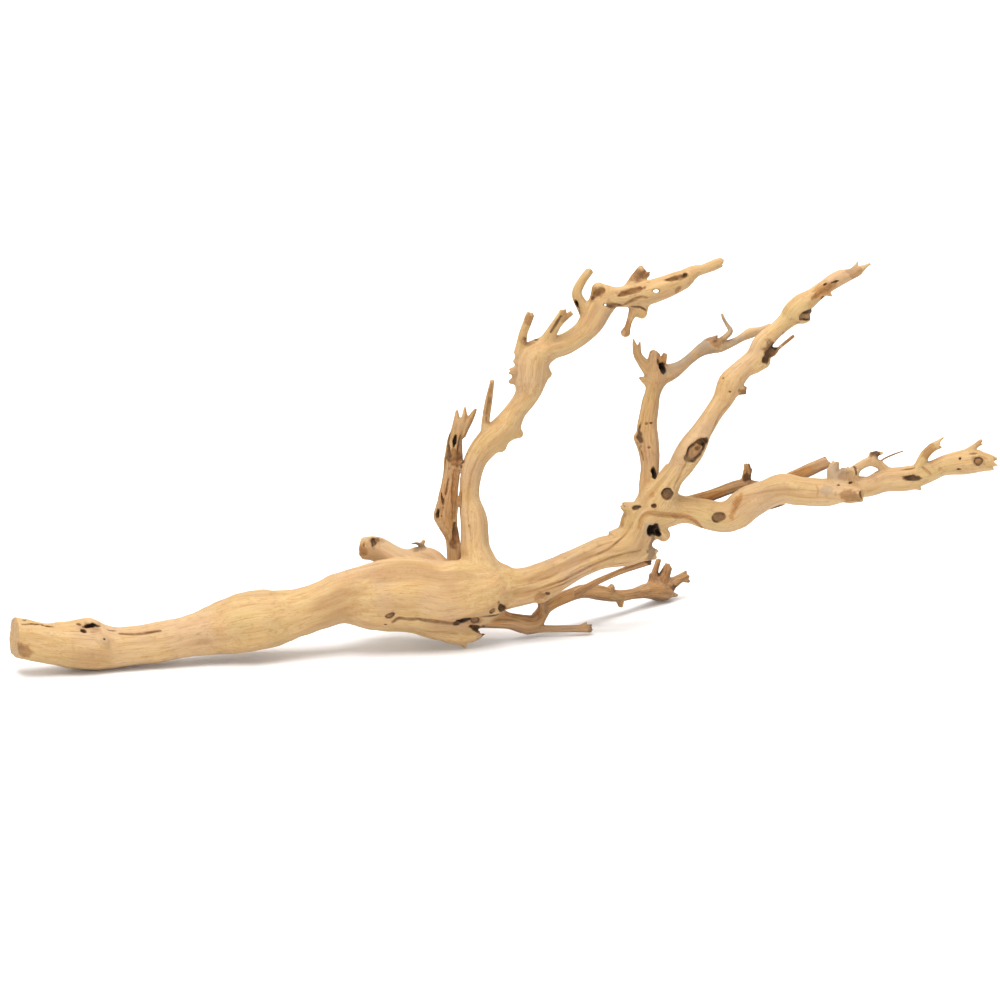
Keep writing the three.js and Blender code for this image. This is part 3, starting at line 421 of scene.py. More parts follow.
# Patches of another colour: x, z, half width, half height, lean, tint, and the limb if not the first.
STAINS = [
    (-227.4, 14.8, 5.4, 3.5, -32, "rust"),
    (-197.6, 23.2, 5.2, 2.4, 0, "tan"),
    (-189.6, 17.6, 3.6, 3.2, 0, "haze"),
    (-15, 17, 6.5, 2.4, 0, "tan"),
    (-7.4, 7.4, 3, 4.4, 0, "dark"),
    (2, 20.6, 5, 2.6, 0, "tan"),
    (-68.6, 44.4, 3.4, 3.2, 0, "russet", "rear_stub"),
    (-62, 49.6, 3.2, 3.4, 0, "tan", "rear_stub"),
    (-40.6, 47.6, 3.4, 2.2, 0, "smoke", "rear_stub"),
    (13, 149, 5.4, 2.2, 0, "tan"),
    (14.6, 160, 2.4, 5, 0, "russet"),
    (32, 163, 3.4, 5, 0, "tan"),
    (6, 133.6, 2.4, 6, 0, "faint"),
    (48, 172, 4.6, 3.6, 20, "tan"),
    (56.4, 166, 5, 2, 0, "tan"),
    (64, 172.6, 6.4, 2.4, 20, "tan"),
    (70, 180.6, 4.6, 4, 0, "brown"),
    (63, 153.6, 3, 3.6, 0, "russet"),
    (-23, 72, 2.2, 11, 0, "gold", "split_snag"),
    (-26.6, 66, 3.4, 15, 4, "ochre", "split_snag"),
    (-22.4, 90.2, 4.6, 4.4, 0, "brown", "split_snag"),
    (-18.4, 86.6, 2, 2.2, 0, "dark", "split_snag"),
    (-22, 52, 2, 6, 0, "brown", "split_snag"),
    (-5.4, 119, 2.4, 10, -8, "tan"),
    (75.5, 73, 1.6, 1.3, 0, "gold"),
    (76.4, 54.9, 4.6, 4.6, 0, "grey"),
    (117.6, 67.8, 2, 7.8, -26, "gold"),
    (118, 68.4, 1.4, 6, -26, "russet"),
    (76.4, 44, 2.6, 7, 0, "smoke"),
    (70, 99, 1.6, 5.4, 0, "dark"),
    (79, 104, 1, 10, 0, "smoke"),
    (83, 136, 2.4, 4.4, 0, "gold"),
    (109, 143.8, 4.4, 3, 0, "russet"),
    (121.8, 124.6, 3, 2.6, 0, "brown"),
    (122.6, 125.4, 1.6, 1.2, 0, "dark"),
    (135, 144.4, 4.4, 4, 0, "brown"),
    (143, 149.4, 4.4, 3.4, 0, "brown"),
    (147.4, 157.6, 1.4, 1.2, 0, "russet"),
    (160, 172.6, 6, 3.2, 30, "gold"),
    (160.6, 167.8, 4, 1.3, 30, "dark"),
    (176, 181, 5, 3, 0, "tan"),
    (173, 75.4, 5.8, 3.4, 0, "rust"),
    (161.8, 77, 3, 2.4, 0, "grey"),
    (167, 86, 5, 4.6, 0, "grey"),
    (172, 83.4, 4, 3, 0, "tan"),
    (185.6, 95.6, 2.6, 2, 0, "dark"),
    (136, 65, 6, 1.8, 0, "dark"),
    (193.4, 92.8, 7.5, 2.2, 26, "smoke", "dry_fibre"),
    (211.4, 96.6, 3.6, 4.6, 0, "russet"),
    (235.4, 92.6, 3.6, 3, 0, "tan"),
    (236.6, 99.8, 3, 1.8, 0, "faint"),
    (153, 78, 7, 2.4, 24, "gold", "rear_twig"),
    (104, 68, 9, 2.4, 15, "gold", "rear_twig"),
    (60, 60.4, 3, 6, 0, "tan"),
    (125, 76.4, 2.2, 2.4, 0, "dark", "rear_twig"),
    (58.5, 18, 2, 2, 0, "dark"),
    (20.2, 25.6, 2.8, 2.6, 0, "russet"),
    (23.6, 26.6, 1.7, 1.2, 0, "dark"),
    (76.4, 34, 1.6, 2, 0, "dark"),
    (46, 4, 2.2, 2.6, 0, "smoke"),
    (84, 14, 5, 6, 0, "tan"),
    # The two dark patches among the claws at the lower twig's end are painted shadow between the
    # prongs.
    (84.6, 15, 1, 3.4, 0, "dark"),
    (91, 7.6, 3, 1.6, 0, "dark"),
]
STAINS_BEHIND = [
    (-30, 20, 8, 5, 0, "brown"),
    (17, 138, 6, 7, 0, "brown"),
    (74, 55, 7, 6, 0, "brown"),
    (-150, 14, 12, 5, 0, "gold"),
    (110, 62, 12, 4, 0, "gold"),
]


# Noise and smooth joins
NOISE_SIDE = 32
RANDOM_CELLS = np.random.default_rng(11).random(NOISE_SIDE**3).astype(np.float32) * 2 - 1


def noise(x, y, z):
    """Smooth noise from -1 to 1 with one lump to the unit."""
    total = 0
    corners = []
    for value in (x, y, z):
        cell = np.floor(value)
        part = value - cell
        cell = cell.astype(np.int64)
        part = part * part * (3 - 2 * part)
        corners.append(((cell % NOISE_SIDE, 1 - part), ((cell + 1) % NOISE_SIDE, part)))
    for i, share_x in corners[0]:
        for j, share_y in corners[1]:
            both = share_x * share_y
            row = (i * NOISE_SIDE + j) * NOISE_SIDE
            for k, share_z in corners[2]:
                total = total + both * share_z * RANDOM_CELLS[row + k]
    return total


def lumps(points, size, seed=0.0):
    """Noise with lumps of one size in millimetres, at each point."""
    return noise(points[:, 0] / size + seed, points[:, 1] / size + 3.7, points[:, 2] / size - seed)


def smooth_min(a, b, width):
    near = np.maximum(width - np.abs(a - b), 0) / width
    return np.minimum(a, b) - near * near * width / 4


def smooth_max(a, b, width):
    return -smooth_min(-a, -b, width)


def smooth_step(low, high, value):
    t = np.clip((value - low) / (high - low), 0, 1)
    return t * t * (3 - 2 * t)


# Sweeps
class Chain:
    """Straight pieces end to end, with a radius at each joint."""

    def __init__(self, points, radii):
        self.points = np.asarray(points, float)
        self.radii = np.asarray(radii, float)
        self.spans = np.diff(self.points, axis=0)
        self.lengths = np.maximum(np.linalg.norm(self.spans, axis=1), 1e-9)
        self.travel = np.concatenate([[0], np.cumsum(self.lengths)])
        self.middles = self.points[:-1] + self.spans / 2
        self.extents = self.lengths / 2 + np.maximum(self.radii[:-1], self.radii[1:])

    def within(self, centre, reach):
        """The pieces that come within reach of a point."""
        return np.nonzero(np.linalg.norm(self.middles - centre, axis=1) - self.extents < reach)[0]

    def nearest(self, points, pieces):
        """How far outside the chain's skin each point is, on which piece, and how far along it."""
        starts = self.points[pieces]
        spans = self.spans[pieces]
        squares = self.lengths[pieces] ** 2
        origin = starts[0]
        local = points - origin
        starts = starts - origin
        ahead = local @ spans.T - np.sum(starts * spans, axis=1)
        share = np.clip(ahead / squares, 0, 1)
        apart = np.sum(local**2, axis=1)[:, None] - 2 * local @ starts.T + np.sum(starts**2, axis=1)
        apart = apart + share * (share * squares - 2 * ahead)
        thick = self.radii[pieces] + share * (self.radii[pieces + 1] - self.radii[pieces])
        gap = np.sqrt(np.maximum(apart, 0)) - thick
        best = np.argmin(gap, axis=1)
        row = np.arange(len(points))
        return gap[row, best], pieces[best], share[row, best]


def spline(stations, spacing):
    """Points on a smooth curve through the stations, about spacing apart."""
    stations = np.array(stations, float)
    padded = np.vstack([2 * stations[0] - stations[1], stations, 2 * stations[-1] - stations[-2]])
    out = []
    for i in range(len(stations) - 1):
        before, start, end, after = padded[i : i + 4]
        count = max(1, int(round(np.linalg.norm((end - start)[:3]) / spacing)))
        for t in np.arange(count) / count:
            bend = (2 * before - 5 * start + 4 * end - after) * t**2
            twist = (3 * start - before - 3 * end + after) * t**3
            out.append(0.5 * (2 * start + (end - before) * t + bend + twist))
    out.append(stations[-1])
    return np.array(out)


THICK = 4  # a sweep whose root is thicker than this in radius takes the wider spacing
THICK_SPACING, THIN_SPACING = 1.8, 1.2  # between the points of a sweep's curve
LEAST_RADIUS = 0.35
SAW_WAY = np.array([-0.9, -0.42, 0.1])  # out of the sawn butt, across the trunk at a slant
PAST_THE_SAW = 14  # how far the trunk's tube runs on behind the cut


class Sweep:
    """A limb's tapering tube along a smooth curve, with the end it breaks off in."""

    def __init__(self, limb, number, ending, stations):
        self.limb = limb
        self.ending = ending
        self.seed = len(limb) * 3.1 + number * 7.3 + stations[0][0] * 0.37
        line = spline(stations, THICK_SPACING if stations[0][3] > THICK else THIN_SPACING)
        line[:, 3] = np.maximum(line[:, 3], LEAST_RADIUS)
        self.tip = line[-1, :3]
        self.heading = line[-1, :3] - line[-2, :3]
        self.heading = self.heading / np.linalg.norm(self.heading)
        self.tip_radius = line[-1, 3]
        if ending in ("torn", "sawn"):
            more = line[-1].copy()
            more[:3] += self.heading * (1.6 * more[3] + 1)
            line = np.vstack([line, more])
        self.sawn_root = limb == "trunk" and number == 0
        self.root = line[0, :3].copy()
        self.backward = line[0, :3] - line[1, :3]
        self.backward = self.backward / np.linalg.norm(self.backward)
        if self.sawn_root:
            more = line[0].copy()
            more[:3] += self.backward * PAST_THE_SAW
            line = np.vstack([more, line])
            self.backward = SAW_WAY
        self.chain = Chain(line[:, :3], line[:, 3])
        self.blend = float(np.clip(0.5 * stations[0][3], 0.6, 3.2))
        self.low = (line[:, :3] - line[:, 3:]).min(axis=0)
        self.high = (line[:, :3] + line[:, 3:]).max(axis=0)
        side = np.array([0.0, 1.0, 0.0])
        self.sides = []
        for way in self.chain.spans / self.chain.lengths[:, None]:
            side = side - way * side.dot(way)
            side = side / np.linalg.norm(side)
            self.sides.append((side, np.cross(way, side)))
        self.sides = np.array(self.sides)

    def measure(self, points, pieces):
        """Each point's distance from the skin, travel along the sweep, and place across it."""
        gap, piece, share = self.chain.nearest(points, pieces)
        centre = self.chain.points[piece] + share[:, None] * self.chain.spans[piece]
        out = points - centre
        across = np.sum(out * self.sides[piece, 0], axis=1)
        up = np.sum(out * self.sides[piece, 1], axis=1)
        along = self.chain.travel[piece] + share * self.chain.lengths[piece]
        radii = self.chain.radii
        radius = radii[piece] + share * (radii[piece + 1] - radii[piece])
        if self.ending in ("torn", "sawn"):
            gap = self.broken_off(points, gap, along, across, up)
        if self.sawn_root:
            behind = (points - self.root) @ self.backward
            behind = behind + 0.12 * noise(across / 1.5, up / 1.5, along * 0)
            gap = smooth_max(gap, behind, 0.8)
        return gap, along, across, up, radius

    def cut_share(self, points):
        """1 where a point lies on a sawn face of this sweep."""
        share = np.zeros(len(points))
        if self.sawn_root:
            share = smooth_step(-0.7, -0.35, (points - self.root) @ self.backward)
        if self.ending == "sawn":
            share = smooth_step(-0.5, -0.25, (points - self.tip) @ self.heading)
        return share

    def broken_off(self, points, gap, along, across, up):
        """The distance once the tip is cut off, ragged where it is torn and flat where it is sawn."""
        ahead = (points - self.tip) @ self.heading
        size = self.tip_radius
        if self.ending == "torn":
            wide = 0.9 * size
            narrow = 0.32 * size + 0.2
            coarse = noise(across / wide, up / wide, self.seed + 0 * along)
            fine = noise(across / narrow, up / narrow, self.seed + 5 + along / 9)
            ahead = ahead - size * (0.7 * coarse + 0.45 * fine) + 0.2 * size
        else:
            ahead = ahead + 0.1 * noise(across, up, self.seed + 0 * along)
        close = along > self.chain.travel[-1] - 4.5 * size - 2
        return np.where(close, smooth_max(gap, ahead, 0.3 * min(size, 1.5)), gap)

    def relief(self, along, across, up, radius):
        """How much wood stands proud of the plain tube: flutes, ridges and fibres along the limb."""
        rough = LIMB_LOOKS[self.limb][1]
        size = np.hypot(across, up) + 1e-6
        flute = noise(along / 30 + self.seed, 2.3 * across / size + self.seed, 2.3 * up / size)
        ridge = noise(along / 17 - self.seed, across / 2.1, up / 2.1 + self.seed)
        fibre = noise(along / 11 + self.seed, across / 0.95, up / 0.95)
        return rough * ((0.055 * radius + 0.08) * flute + (0.1 + 0.012 * radius) * ridge + 0.07 * fibre)


SWEEPS = [
    Sweep(limb, number, ending, stations)
    for limb, sweeps in BRANCH.items()
    for number, (ending, stations) in enumerate(sweeps)
]
BIGGEST_REACH = 7.0  # no sweep changes the surface from further than this, in mm
SHARING = 2.6  # two sweeps share relief and tones where their distances differ by less than this
FAR = 50.0  # a distance for points that no sweep is near


def gather(points, reach=BIGGEST_REACH):
    """What every sweep near the points measures there, in the order of the table."""
    low, high = points.min(axis=0), points.max(axis=0)
    centre = (low + high) / 2
    half = np.linalg.norm(high - low) / 2
    found = []
    for sweep in SWEEPS:
        if np.any(sweep.low - reach > high) or np.any(sweep.high + reach < low):
            continue
        pieces = sweep.chain.within(centre, half + reach)
        if len(pieces):
            found.append((sweep, sweep.measure(points, pieces)))
    return found


def plain_distance(points, found):
    """The distance to all the sweeps, melted into one another."""
    total = np.full(len(points), FAR)
    for sweep, (gap, *_rest) in found:
        total = smooth_min(total, gap, sweep.blend)
    return total


def shares(found):
    """How much each sweep counts at each point, adding up to one."""
    gaps = np.array([measured[0] for _sweep, measured in found])
    weights = np.maximum(1 - (gaps - gaps.min(axis=0)) / SHARING, 0) ** 2
    return weights / weights.sum(axis=0)


# Placing the marks
def plain_at(points, limb=None):
    """The distance to the plain skin of the branch, or of one limb."""
    found = gather(points)
    if limb:
        found = [pair for pair in found if pair[0].limb == limb]
    return plain_distance(points, found)


def slope(points, limb=None):
    """The outward direction of the plain skin at each point."""
    step = 0.3
    found = []
    for axis in range(3):
        shift = np.zeros(3)
        shift[axis] = step
        found.append(plain_at(points + shift, limb) - plain_at(points - shift, limb))
    out = np.array(found).T
    return out / np.maximum(np.linalg.norm(out, axis=1, keepdims=True), 1e-9)


SEARCHED = (-30.0, 130.0)  # the least and greatest y that skin is looked for at
SEARCH_STEP = 10.0


def skin_point(x, z, side, limb=None):
    """The first point of the plain skin at this x and z, from the front or back, and its way out."""
    closest = math.inf
    for start in np.arange(*SEARCHED, SEARCH_STEP)[::-side]:
        ys = np.arange(start, start + SEARCH_STEP, 0.5)[::-side]
        points = np.stack([np.full_like(ys, x), ys, np.full_like(ys, z)], axis=1)
        distance = plain_at(points, limb)
        inside = np.nonzero(distance < 0)[0]
        if len(inside):
            point = points[inside[0]][None]
            break
        if distance.min() < closest:
            closest = distance.min()
            point = points[distance.argmin()][None]
    for _step in range(6):
        point = point - plain_at(point, limb)[:, None] * slope(point, limb)
    return point[0], slope(point, limb)[0]


class Hollow:
    """A worm hole, rotten pocket or shallow scar: an ellipsoid taken out of the skin."""

    def __init__(self, x, z, half_width, half_height, depth, lean, tint, limb=None, side=FRONT):
        self.centre, self.out = skin_point(x, z, side, limb)
        upward = np.array([0, 0.4, 0.92])
        upward = upward - self.out * self.out.dot(upward)
        upward = upward / np.linalg.norm(upward)
        level = np.cross(upward, -self.out) * side
        turn = math.radians(lean)
        self.level = level * math.cos(turn) + upward * math.sin(turn)
        self.rise = upward * math.cos(turn) - level * math.sin(turn)
        self.half = np.array([half_width, half_height, depth])
        self.tint = np.array(TINTS[tint])
        self.uneven = 0.3
        self.reach = max(half_width, half_height, depth) * 1.5 + 1.5

    def size_at(self, points):
        """1 on the ellipsoid, less inside it, with an uneven rim."""
        local = points - self.centre
        place = np.stack([local @ self.level, local @ self.rise, local @ self.out], axis=1) / self.half
        rim = self.uneven * lumps(points, 0.9 + 0.35 * self.half[:2].min(), self.centre[0])
        return np.linalg.norm(place, axis=1) + rim

    def carve(self, points, total):
        pocket = (self.size_at(points) - 1) * self.half.min()
        return smooth_max(total, -pocket, 0.35)

    def tones(self, points):
        # The inside takes the hollow's tint; the black and dark tints there are painted shade.
        return smooth_step(1.32, 0.92, self.size_at(points))[:, None] * self.tint


class Pierced:
    """A hole right through a limb, from front to back."""

    def __init__(self, x, z, half_width, half_height):
        self.centre, _out = skin_point(x, z, FRONT)
        self.half = np.array([half_width, half_height])
        self.reach = PIERCED_REACH

    def size_at(self, points):
        local = points - self.centre
        level = np.cross(PIERCED_WAY, [0, 0, 1.0])
        across = np.stack([local @ level, local @ np.cross(level, PIERCED_WAY)], axis=1)
        return np.linalg.norm(across / self.half, axis=1) + 0.2 * lumps(points, 1.6)

    def carve(self, points, total):
        return smooth_max(total, -(self.size_at(points) - 1) * self.half.min(), 0.5)

    def tones(self, points):
        return smooth_step(1.5, 1.0, self.size_at(points))[:, None] * np.array(TINTS["tan"])


KNOT_DEPTH = 4.0
RING_TINT = np.array([0.72, 1.0, 0, 0])


class Knot:
    """A knot grown over: a raised lip, a dark groove, and a sunk core."""

    def __init__(self, x, z, half_width, half_height, lean, tint, side=FRONT):
        self.bowl = Hollow(x, z, half_width, half_height, KNOT_DEPTH, lean, tint, side=side)
        self.bowl.uneven = 0.15
        self.centre = self.bowl.centre
        self.reach = max(half_width, half_height) * 2 + 2
        self.small = min(half_width, half_height)

    def place_in(self, points):
        """How far out from the knot's middle each point is, 1 at its rim, and how near the skin."""
        depth = (points - self.centre) @ self.bowl.out
        size = self.bowl.size_at(points - np.outer(depth, self.bowl.out))
        return size, smooth_step(self.small + 3, self.small, np.abs(depth))

    def carve(self, points, total):
        size, near = self.place_in(points)
        lip = 0.12 * self.small * np.exp(-(((size - 1.32) / 0.22) ** 2))
        groove = 0.34 * self.small * np.exp(-(((size - 0.92) / 0.18) ** 2))
        core = 0.16 * self.small * smooth_step(0.95, 0.7, size)
        return total + near * (groove + core - lip)

    def tones(self, points):
        size, near = self.place_in(points)
        ring = smooth_step(1.2, 1.0, size) * smooth_step(0.58, 0.82, size) * near
        ring = ring * np.clip(0.9 + 0.6 * lumps(points, 2.6, 1.7), 0.4, 1)
        inside = smooth_step(1.05, 0.8, size) * near
        return np.maximum(ring[:, None] * RING_TINT, inside[:, None] * self.bowl.tint)


class Crack:
    """A split or channel that runs over the skin."""

    def __init__(self, radius, tint, spots, side=FRONT):
        line = np.array([skin_point(x, z, side)[0] for x, z in spots])
        stations = np.hstack([line, np.full((len(line), 1), radius)])
        line = spline(stations, 1.5)
        ends = np.linspace(0, 1, len(line))
        line[:, 3] *= 0.35 + 0.65 * np.sin(np.pi * np.clip(ends, 0.02, 0.98)) ** 0.5
        for _step in range(3):
            line[:, :3] -= plain_at(line[:, :3])[:, None] * slope(line[:, :3])
        self.chain = Chain(line[:, :3], line[:, 3])
        self.pieces = np.arange(len(self.chain.spans))
        self.centre = (line[:, :3].min(axis=0) + line[:, :3].max(axis=0)) / 2
        self.reach = np.linalg.norm(line[:, :3] - self.centre, axis=1).max() + 2 * radius + 1.5
        self.radius = radius
        self.tint = np.array(TINTS[tint])

    def gap(self, points):
        return self.chain.nearest(points, self.pieces)[0]

    def carve(self, points, total):
        wander = 0.3 * self.radius * lumps(points, 1.7, self.radius)
        return smooth_max(total, -(self.gap(points) + wander), 0.3)

    def tones(self, points):
        # The inside takes the crack's tint; the black and dark tints there are painted shade.
        inside = smooth_step(0.35 + 0.2 * self.radius, -0.3 * self.radius, self.gap(points))
        return inside[:, None] * self.tint


class Stain:
    """A patch of another colour, with a wandering edge."""

    def __init__(self, x, z, half_width, half_height, lean, tint, limb=None, side=FRONT):
        depth = 1.5 * min(half_width, half_height) + 1
        self.patch = Hollow(x, z, half_width, half_height, depth, lean, tint, limb, side)
        self.centre = self.patch.centre
        self.reach = self.patch.reach + max(half_width, half_height)

    def tones(self, points):
        size = self.patch.size_at(points)
        size = size + 0.4 * lumps(points, 2.3, 8.1) + 0.25 * lumps(points, 1.0, 2.1)
        return smooth_step(1.25, 0.7, size)[:, None] * self.patch.tint


def placed(kind, rows, rows_behind):
    """The marks of one kind, those on the front before those on the back."""
    return [kind(*row) for row in rows] + [kind(*row, side=BACK) for row in rows_behind]


CARVED = placed(Hollow, HOLLOWS, HOLLOWS_BEHIND)
CARVED += placed(Knot, KNOTS, KNOTS_BEHIND)
CARVED += placed(Crack, CRACKS, CRACKS_BEHIND)
HOLES = [Pierced(*row) for row in PIERCED]
MARKS = CARVED + HOLES + placed(Stain, STAINS, STAINS_BEHIND)


def near_marks(marks, points):
    """The marks that may reach the box round the points."""
    low, high = points.min(axis=0), points.max(axis=0)
    found = []
    for mark in marks:
        outside = np.maximum(np.maximum(low - mark.centre, mark.centre - high), 0)
        if np.linalg.norm(outside) < mark.reach:
            found.append(mark)
    return found


FLOOR = CENTRE[2] + 0.03  # the branch lies on this height
OVERLAP = 0.35  # how far a limb's mesh reaches into its neighbour's
DETAILED = 4.0  # relief and marks are worked out this near the plain skin


def shape(points, limb):
    """The signed distance to one limb's share of the branch."""
    found = gather(points)
    if not found:
        return np.full(len(points), FAR)
    total = plain_distance(points, found)
    own = np.full(len(points), FAR)
    others = np.full(len(points), FAR)
    for sweep, (gap, *_rest) in found:
        if sweep.limb == limb:
            own = np.minimum(own, gap)
        else:
            others = np.minimum(others, gap)
    close = np.nonzero(np.abs(total) < DETAILED)[0]
    if len(close):
        found_close = [(sweep, [part[close] for part in measured]) for sweep, measured in found]
        total[close] = detailed(points[close], found_close, total[close])
    for hole in near_marks(HOLES, points):
        total = hole.carve(points, total)
    total = np.maximum(total, FLOOR - points[:, 2])
    return np.maximum(total, 0.5 * (own - others) - OVERLAP)


def detailed(points, found, total):
    """The smooth distance with its relief, lumps and marks."""
    weights = shares(found)
    radius = sum(w * measured[4] for w, (_sweep, measured) in zip(weights, found))
    for weight, (sweep, (_gap, along, across, up, thick)) in zip(weights, found):
        total = total - weight * sweep.relief(along, across, up, thick)
    swell = np.clip(radius / 9, 0.15, 1.3)
    total = total - swell * (0.5 * lumps(points, 11.0) + 0.28 * lumps(points, 4.6, 5.2))
    for mark in near_marks(CARVED, points):
        total = mark.carve(points, total)
    return total


CHUNK = 1500  # points whose looks are worked out in one go


def skin_looks(points):
    """Grain vector, tint amounts with the painted shade of undersides, limb tones, and relief and sawn
    faces at points of the surface.
    """
    grain = np.zeros((len(points), 3))
    tones = np.zeros((len(points), 4))
    limb_tones = np.zeros((len(points), 4))
    for start in range(0, len(points), CHUNK):
        part = slice(start, start + CHUNK)
        spots = points[part]
        found = gather(spots)
        if not found:
            continue
        gaps = np.array([measured[0] for _sweep, measured in found])
        best = gaps.argmin(axis=0)
        weights = shares(found)
        for i, (sweep, (_gap, along, across, up, thick)) in enumerate(found):
            mine = best == i
            grain[part][mine] = np.stack([along + 37 * sweep.seed, across, up], axis=1)[mine]
            _voxel, _rough, brown, grey, underside_shade_amount = LIMB_LOOKS[sweep.limb]
            # Painted shade: each limb's underside is darkened and browned, and its low side greyed, by
            # how far the skin faces down.
            underside_shade = underside_shade_amount * weights[i] * smooth_step(-0.15, -0.8, up / np.maximum(thick, 0.5))
            tones[part, 0] = np.maximum(tones[part, 0], 0.7 * underside_shade)
            tones[part, 1] = np.maximum(tones[part, 1], underside_shade)
            low_side_grey_shade = 0.3 * weights[i] * smooth_step(-0.2, -0.9, up / np.maximum(thick, 0.5))
            tones[part, 3] = np.maximum(tones[part, 3], low_side_grey_shade)
            proud = sweep.relief(along, across, up, thick)
            brown, grey = np.full_like(thick, brown), np.full_like(thick, grey)
            looks = np.stack([brown, grey, proud, sweep.cut_share(spots)], axis=1)
            limb_tones[part] += weights[i][:, None] * looks
        for mark in near_marks(MARKS, spots):
            tones[part] = np.maximum(tones[part], mark.tones(spots))
    return grain, tones, limb_tones


# Meshes
BLOCK = 14  # voxels along the side of a block that is worked out in one go
MARGIN = 2.5  # how far round its sweeps a limb's grid reaches
CLIP = 3.0  # distances are cut off at this, on both sides of the skin


def limb_grid(limb):
    """A limb's distances on a grid of voxels: the values, the grid's corner and the voxel size."""
    voxel = LIMB_LOOKS[limb][0] * 1.0
    own = [sweep for sweep in SWEEPS if sweep.limb == limb]
    low = np.min([sweep.low for sweep in own], axis=0) - MARGIN
    high = np.max([sweep.high for sweep in own], axis=0) + MARGIN
    low[2] = max(low[2], FLOOR - 1.5)
    counts = (np.ceil((high - low) / voxel / BLOCK) * BLOCK).astype(int)
    values = np.full(counts, CLIP, np.float32)
    steps = np.stack(np.meshgrid(*[np.arange(BLOCK)] * 3, indexing="ij"), axis=-1).reshape(-1, 3)
    half = BLOCK * voxel * math.sqrt(3) / 2
    for i in range(0, counts[0], BLOCK):
        for j in range(0, counts[1], BLOCK):
            for k in range(0, counts[2], BLOCK):
                corner = low + np.array([i, j, k]) * voxel
                centre = corner + (BLOCK - 1) * voxel / 2
                if not any(len(sweep.chain.within(centre, half + MARGIN)) for sweep in own):
                    continue
                points = corner + steps * voxel
                block = shape(points, limb).reshape(BLOCK, BLOCK, BLOCK)
                values[i : i + BLOCK, j : j + BLOCK, k : k + BLOCK] = np.clip(block, -CLIP, CLIP)
    return values, low, voxel


def largest_island(count, faces):
    """Which vertices belong to the biggest connected piece."""
    label = np.arange(count)
    edges = np.vstack([faces[:, [0, 1]], faces[:, [1, 2]], faces[:, [2, 3]], faces[:, [3, 0]]])
    while True:
        lowest = np.minimum(label[edges[:, 0]], label[edges[:, 1]])
        before = label.copy()
        np.minimum.at(label, before[edges[:, 0]], lowest)
        np.minimum.at(label, before[edges[:, 1]], lowest)
        label = label[label]
        if np.array_equal(before, label):
            break
    return label == np.bincount(label).argmax()


def in_scene(name, data):
    """A new object in the scene."""
    made = bpy.data.objects.new(name, data)
    bpy.context.scene.collection.objects.link(made)
    return made


def limb_mesh(limb):
    """The object that shows one limb, with the attributes that its wood reads."""
    values, low, voxel = limb_grid(limb)
    grid = openvdb.FloatGrid(CLIP)
    grid.copyFromArray(values)
    points, faces = grid.convertToQuads()
    faces = faces.astype(np.int64)
    kept = largest_island(len(points), faces)
    faces = faces[kept[faces[:, 0]]]
    place = np.cumsum(kept) - 1
    points = points[kept].astype(float) * voxel + low
    faces = place[faces]
    a, b, c = points[faces[:, 0]], points[faces[:, 1]], points[faces[:, 2]]
    if np.sum(a * np.cross(b - a, c - a)) < 0:
        faces = faces[:, ::-1]
    points[:, 2] = np.maximum(points[:, 2], FLOOR)
    mesh = bpy.data.meshes.new(limb + "_wood")
    mesh.from_pydata(((points - CENTRE) * MM).tolist(), [], faces.tolist())
    mesh.polygons.foreach_set("use_smooth", np.ones(len(faces), bool))
    grain, tones, limb_tones = skin_looks(points)
    # tint holds the marks' dark, brown and gold with the painted shade of undersides; tone holds grey
    # patches with the painted grey shade low on each limb, then the limb's brown and grey.
    for name, rows in (("grain", grain), ("tint", tones[:, :3]),
                       ("tone", np.column_stack([tones[:, 3], limb_tones[:, :2]]))):
        layer = mesh.attributes.new(name, "FLOAT_VECTOR", "POINT")
        layer.data.foreach_set("vector", rows.astype(np.float32).ravel())
    for name, column in (("proud", 2), ("sawn", 3)):
        layer = mesh.attributes.new(name, "FLOAT", "POINT")
        layer.data.foreach_set("value", limb_tones[:, column].astype(np.float32))
    mesh.update()
    return in_scene(limb + "_wood", mesh)


# Wood
def linear(red, green, blue):
    """A colour given as 0 to 255, for a shader."""
    out = []
    for value in (red, green, blue):
        value = value / 255
        out.append(value / 12.92 if value <= 0.04045 else ((value + 0.055) / 1.055) ** 2.4)
    return (*out, 1.0)


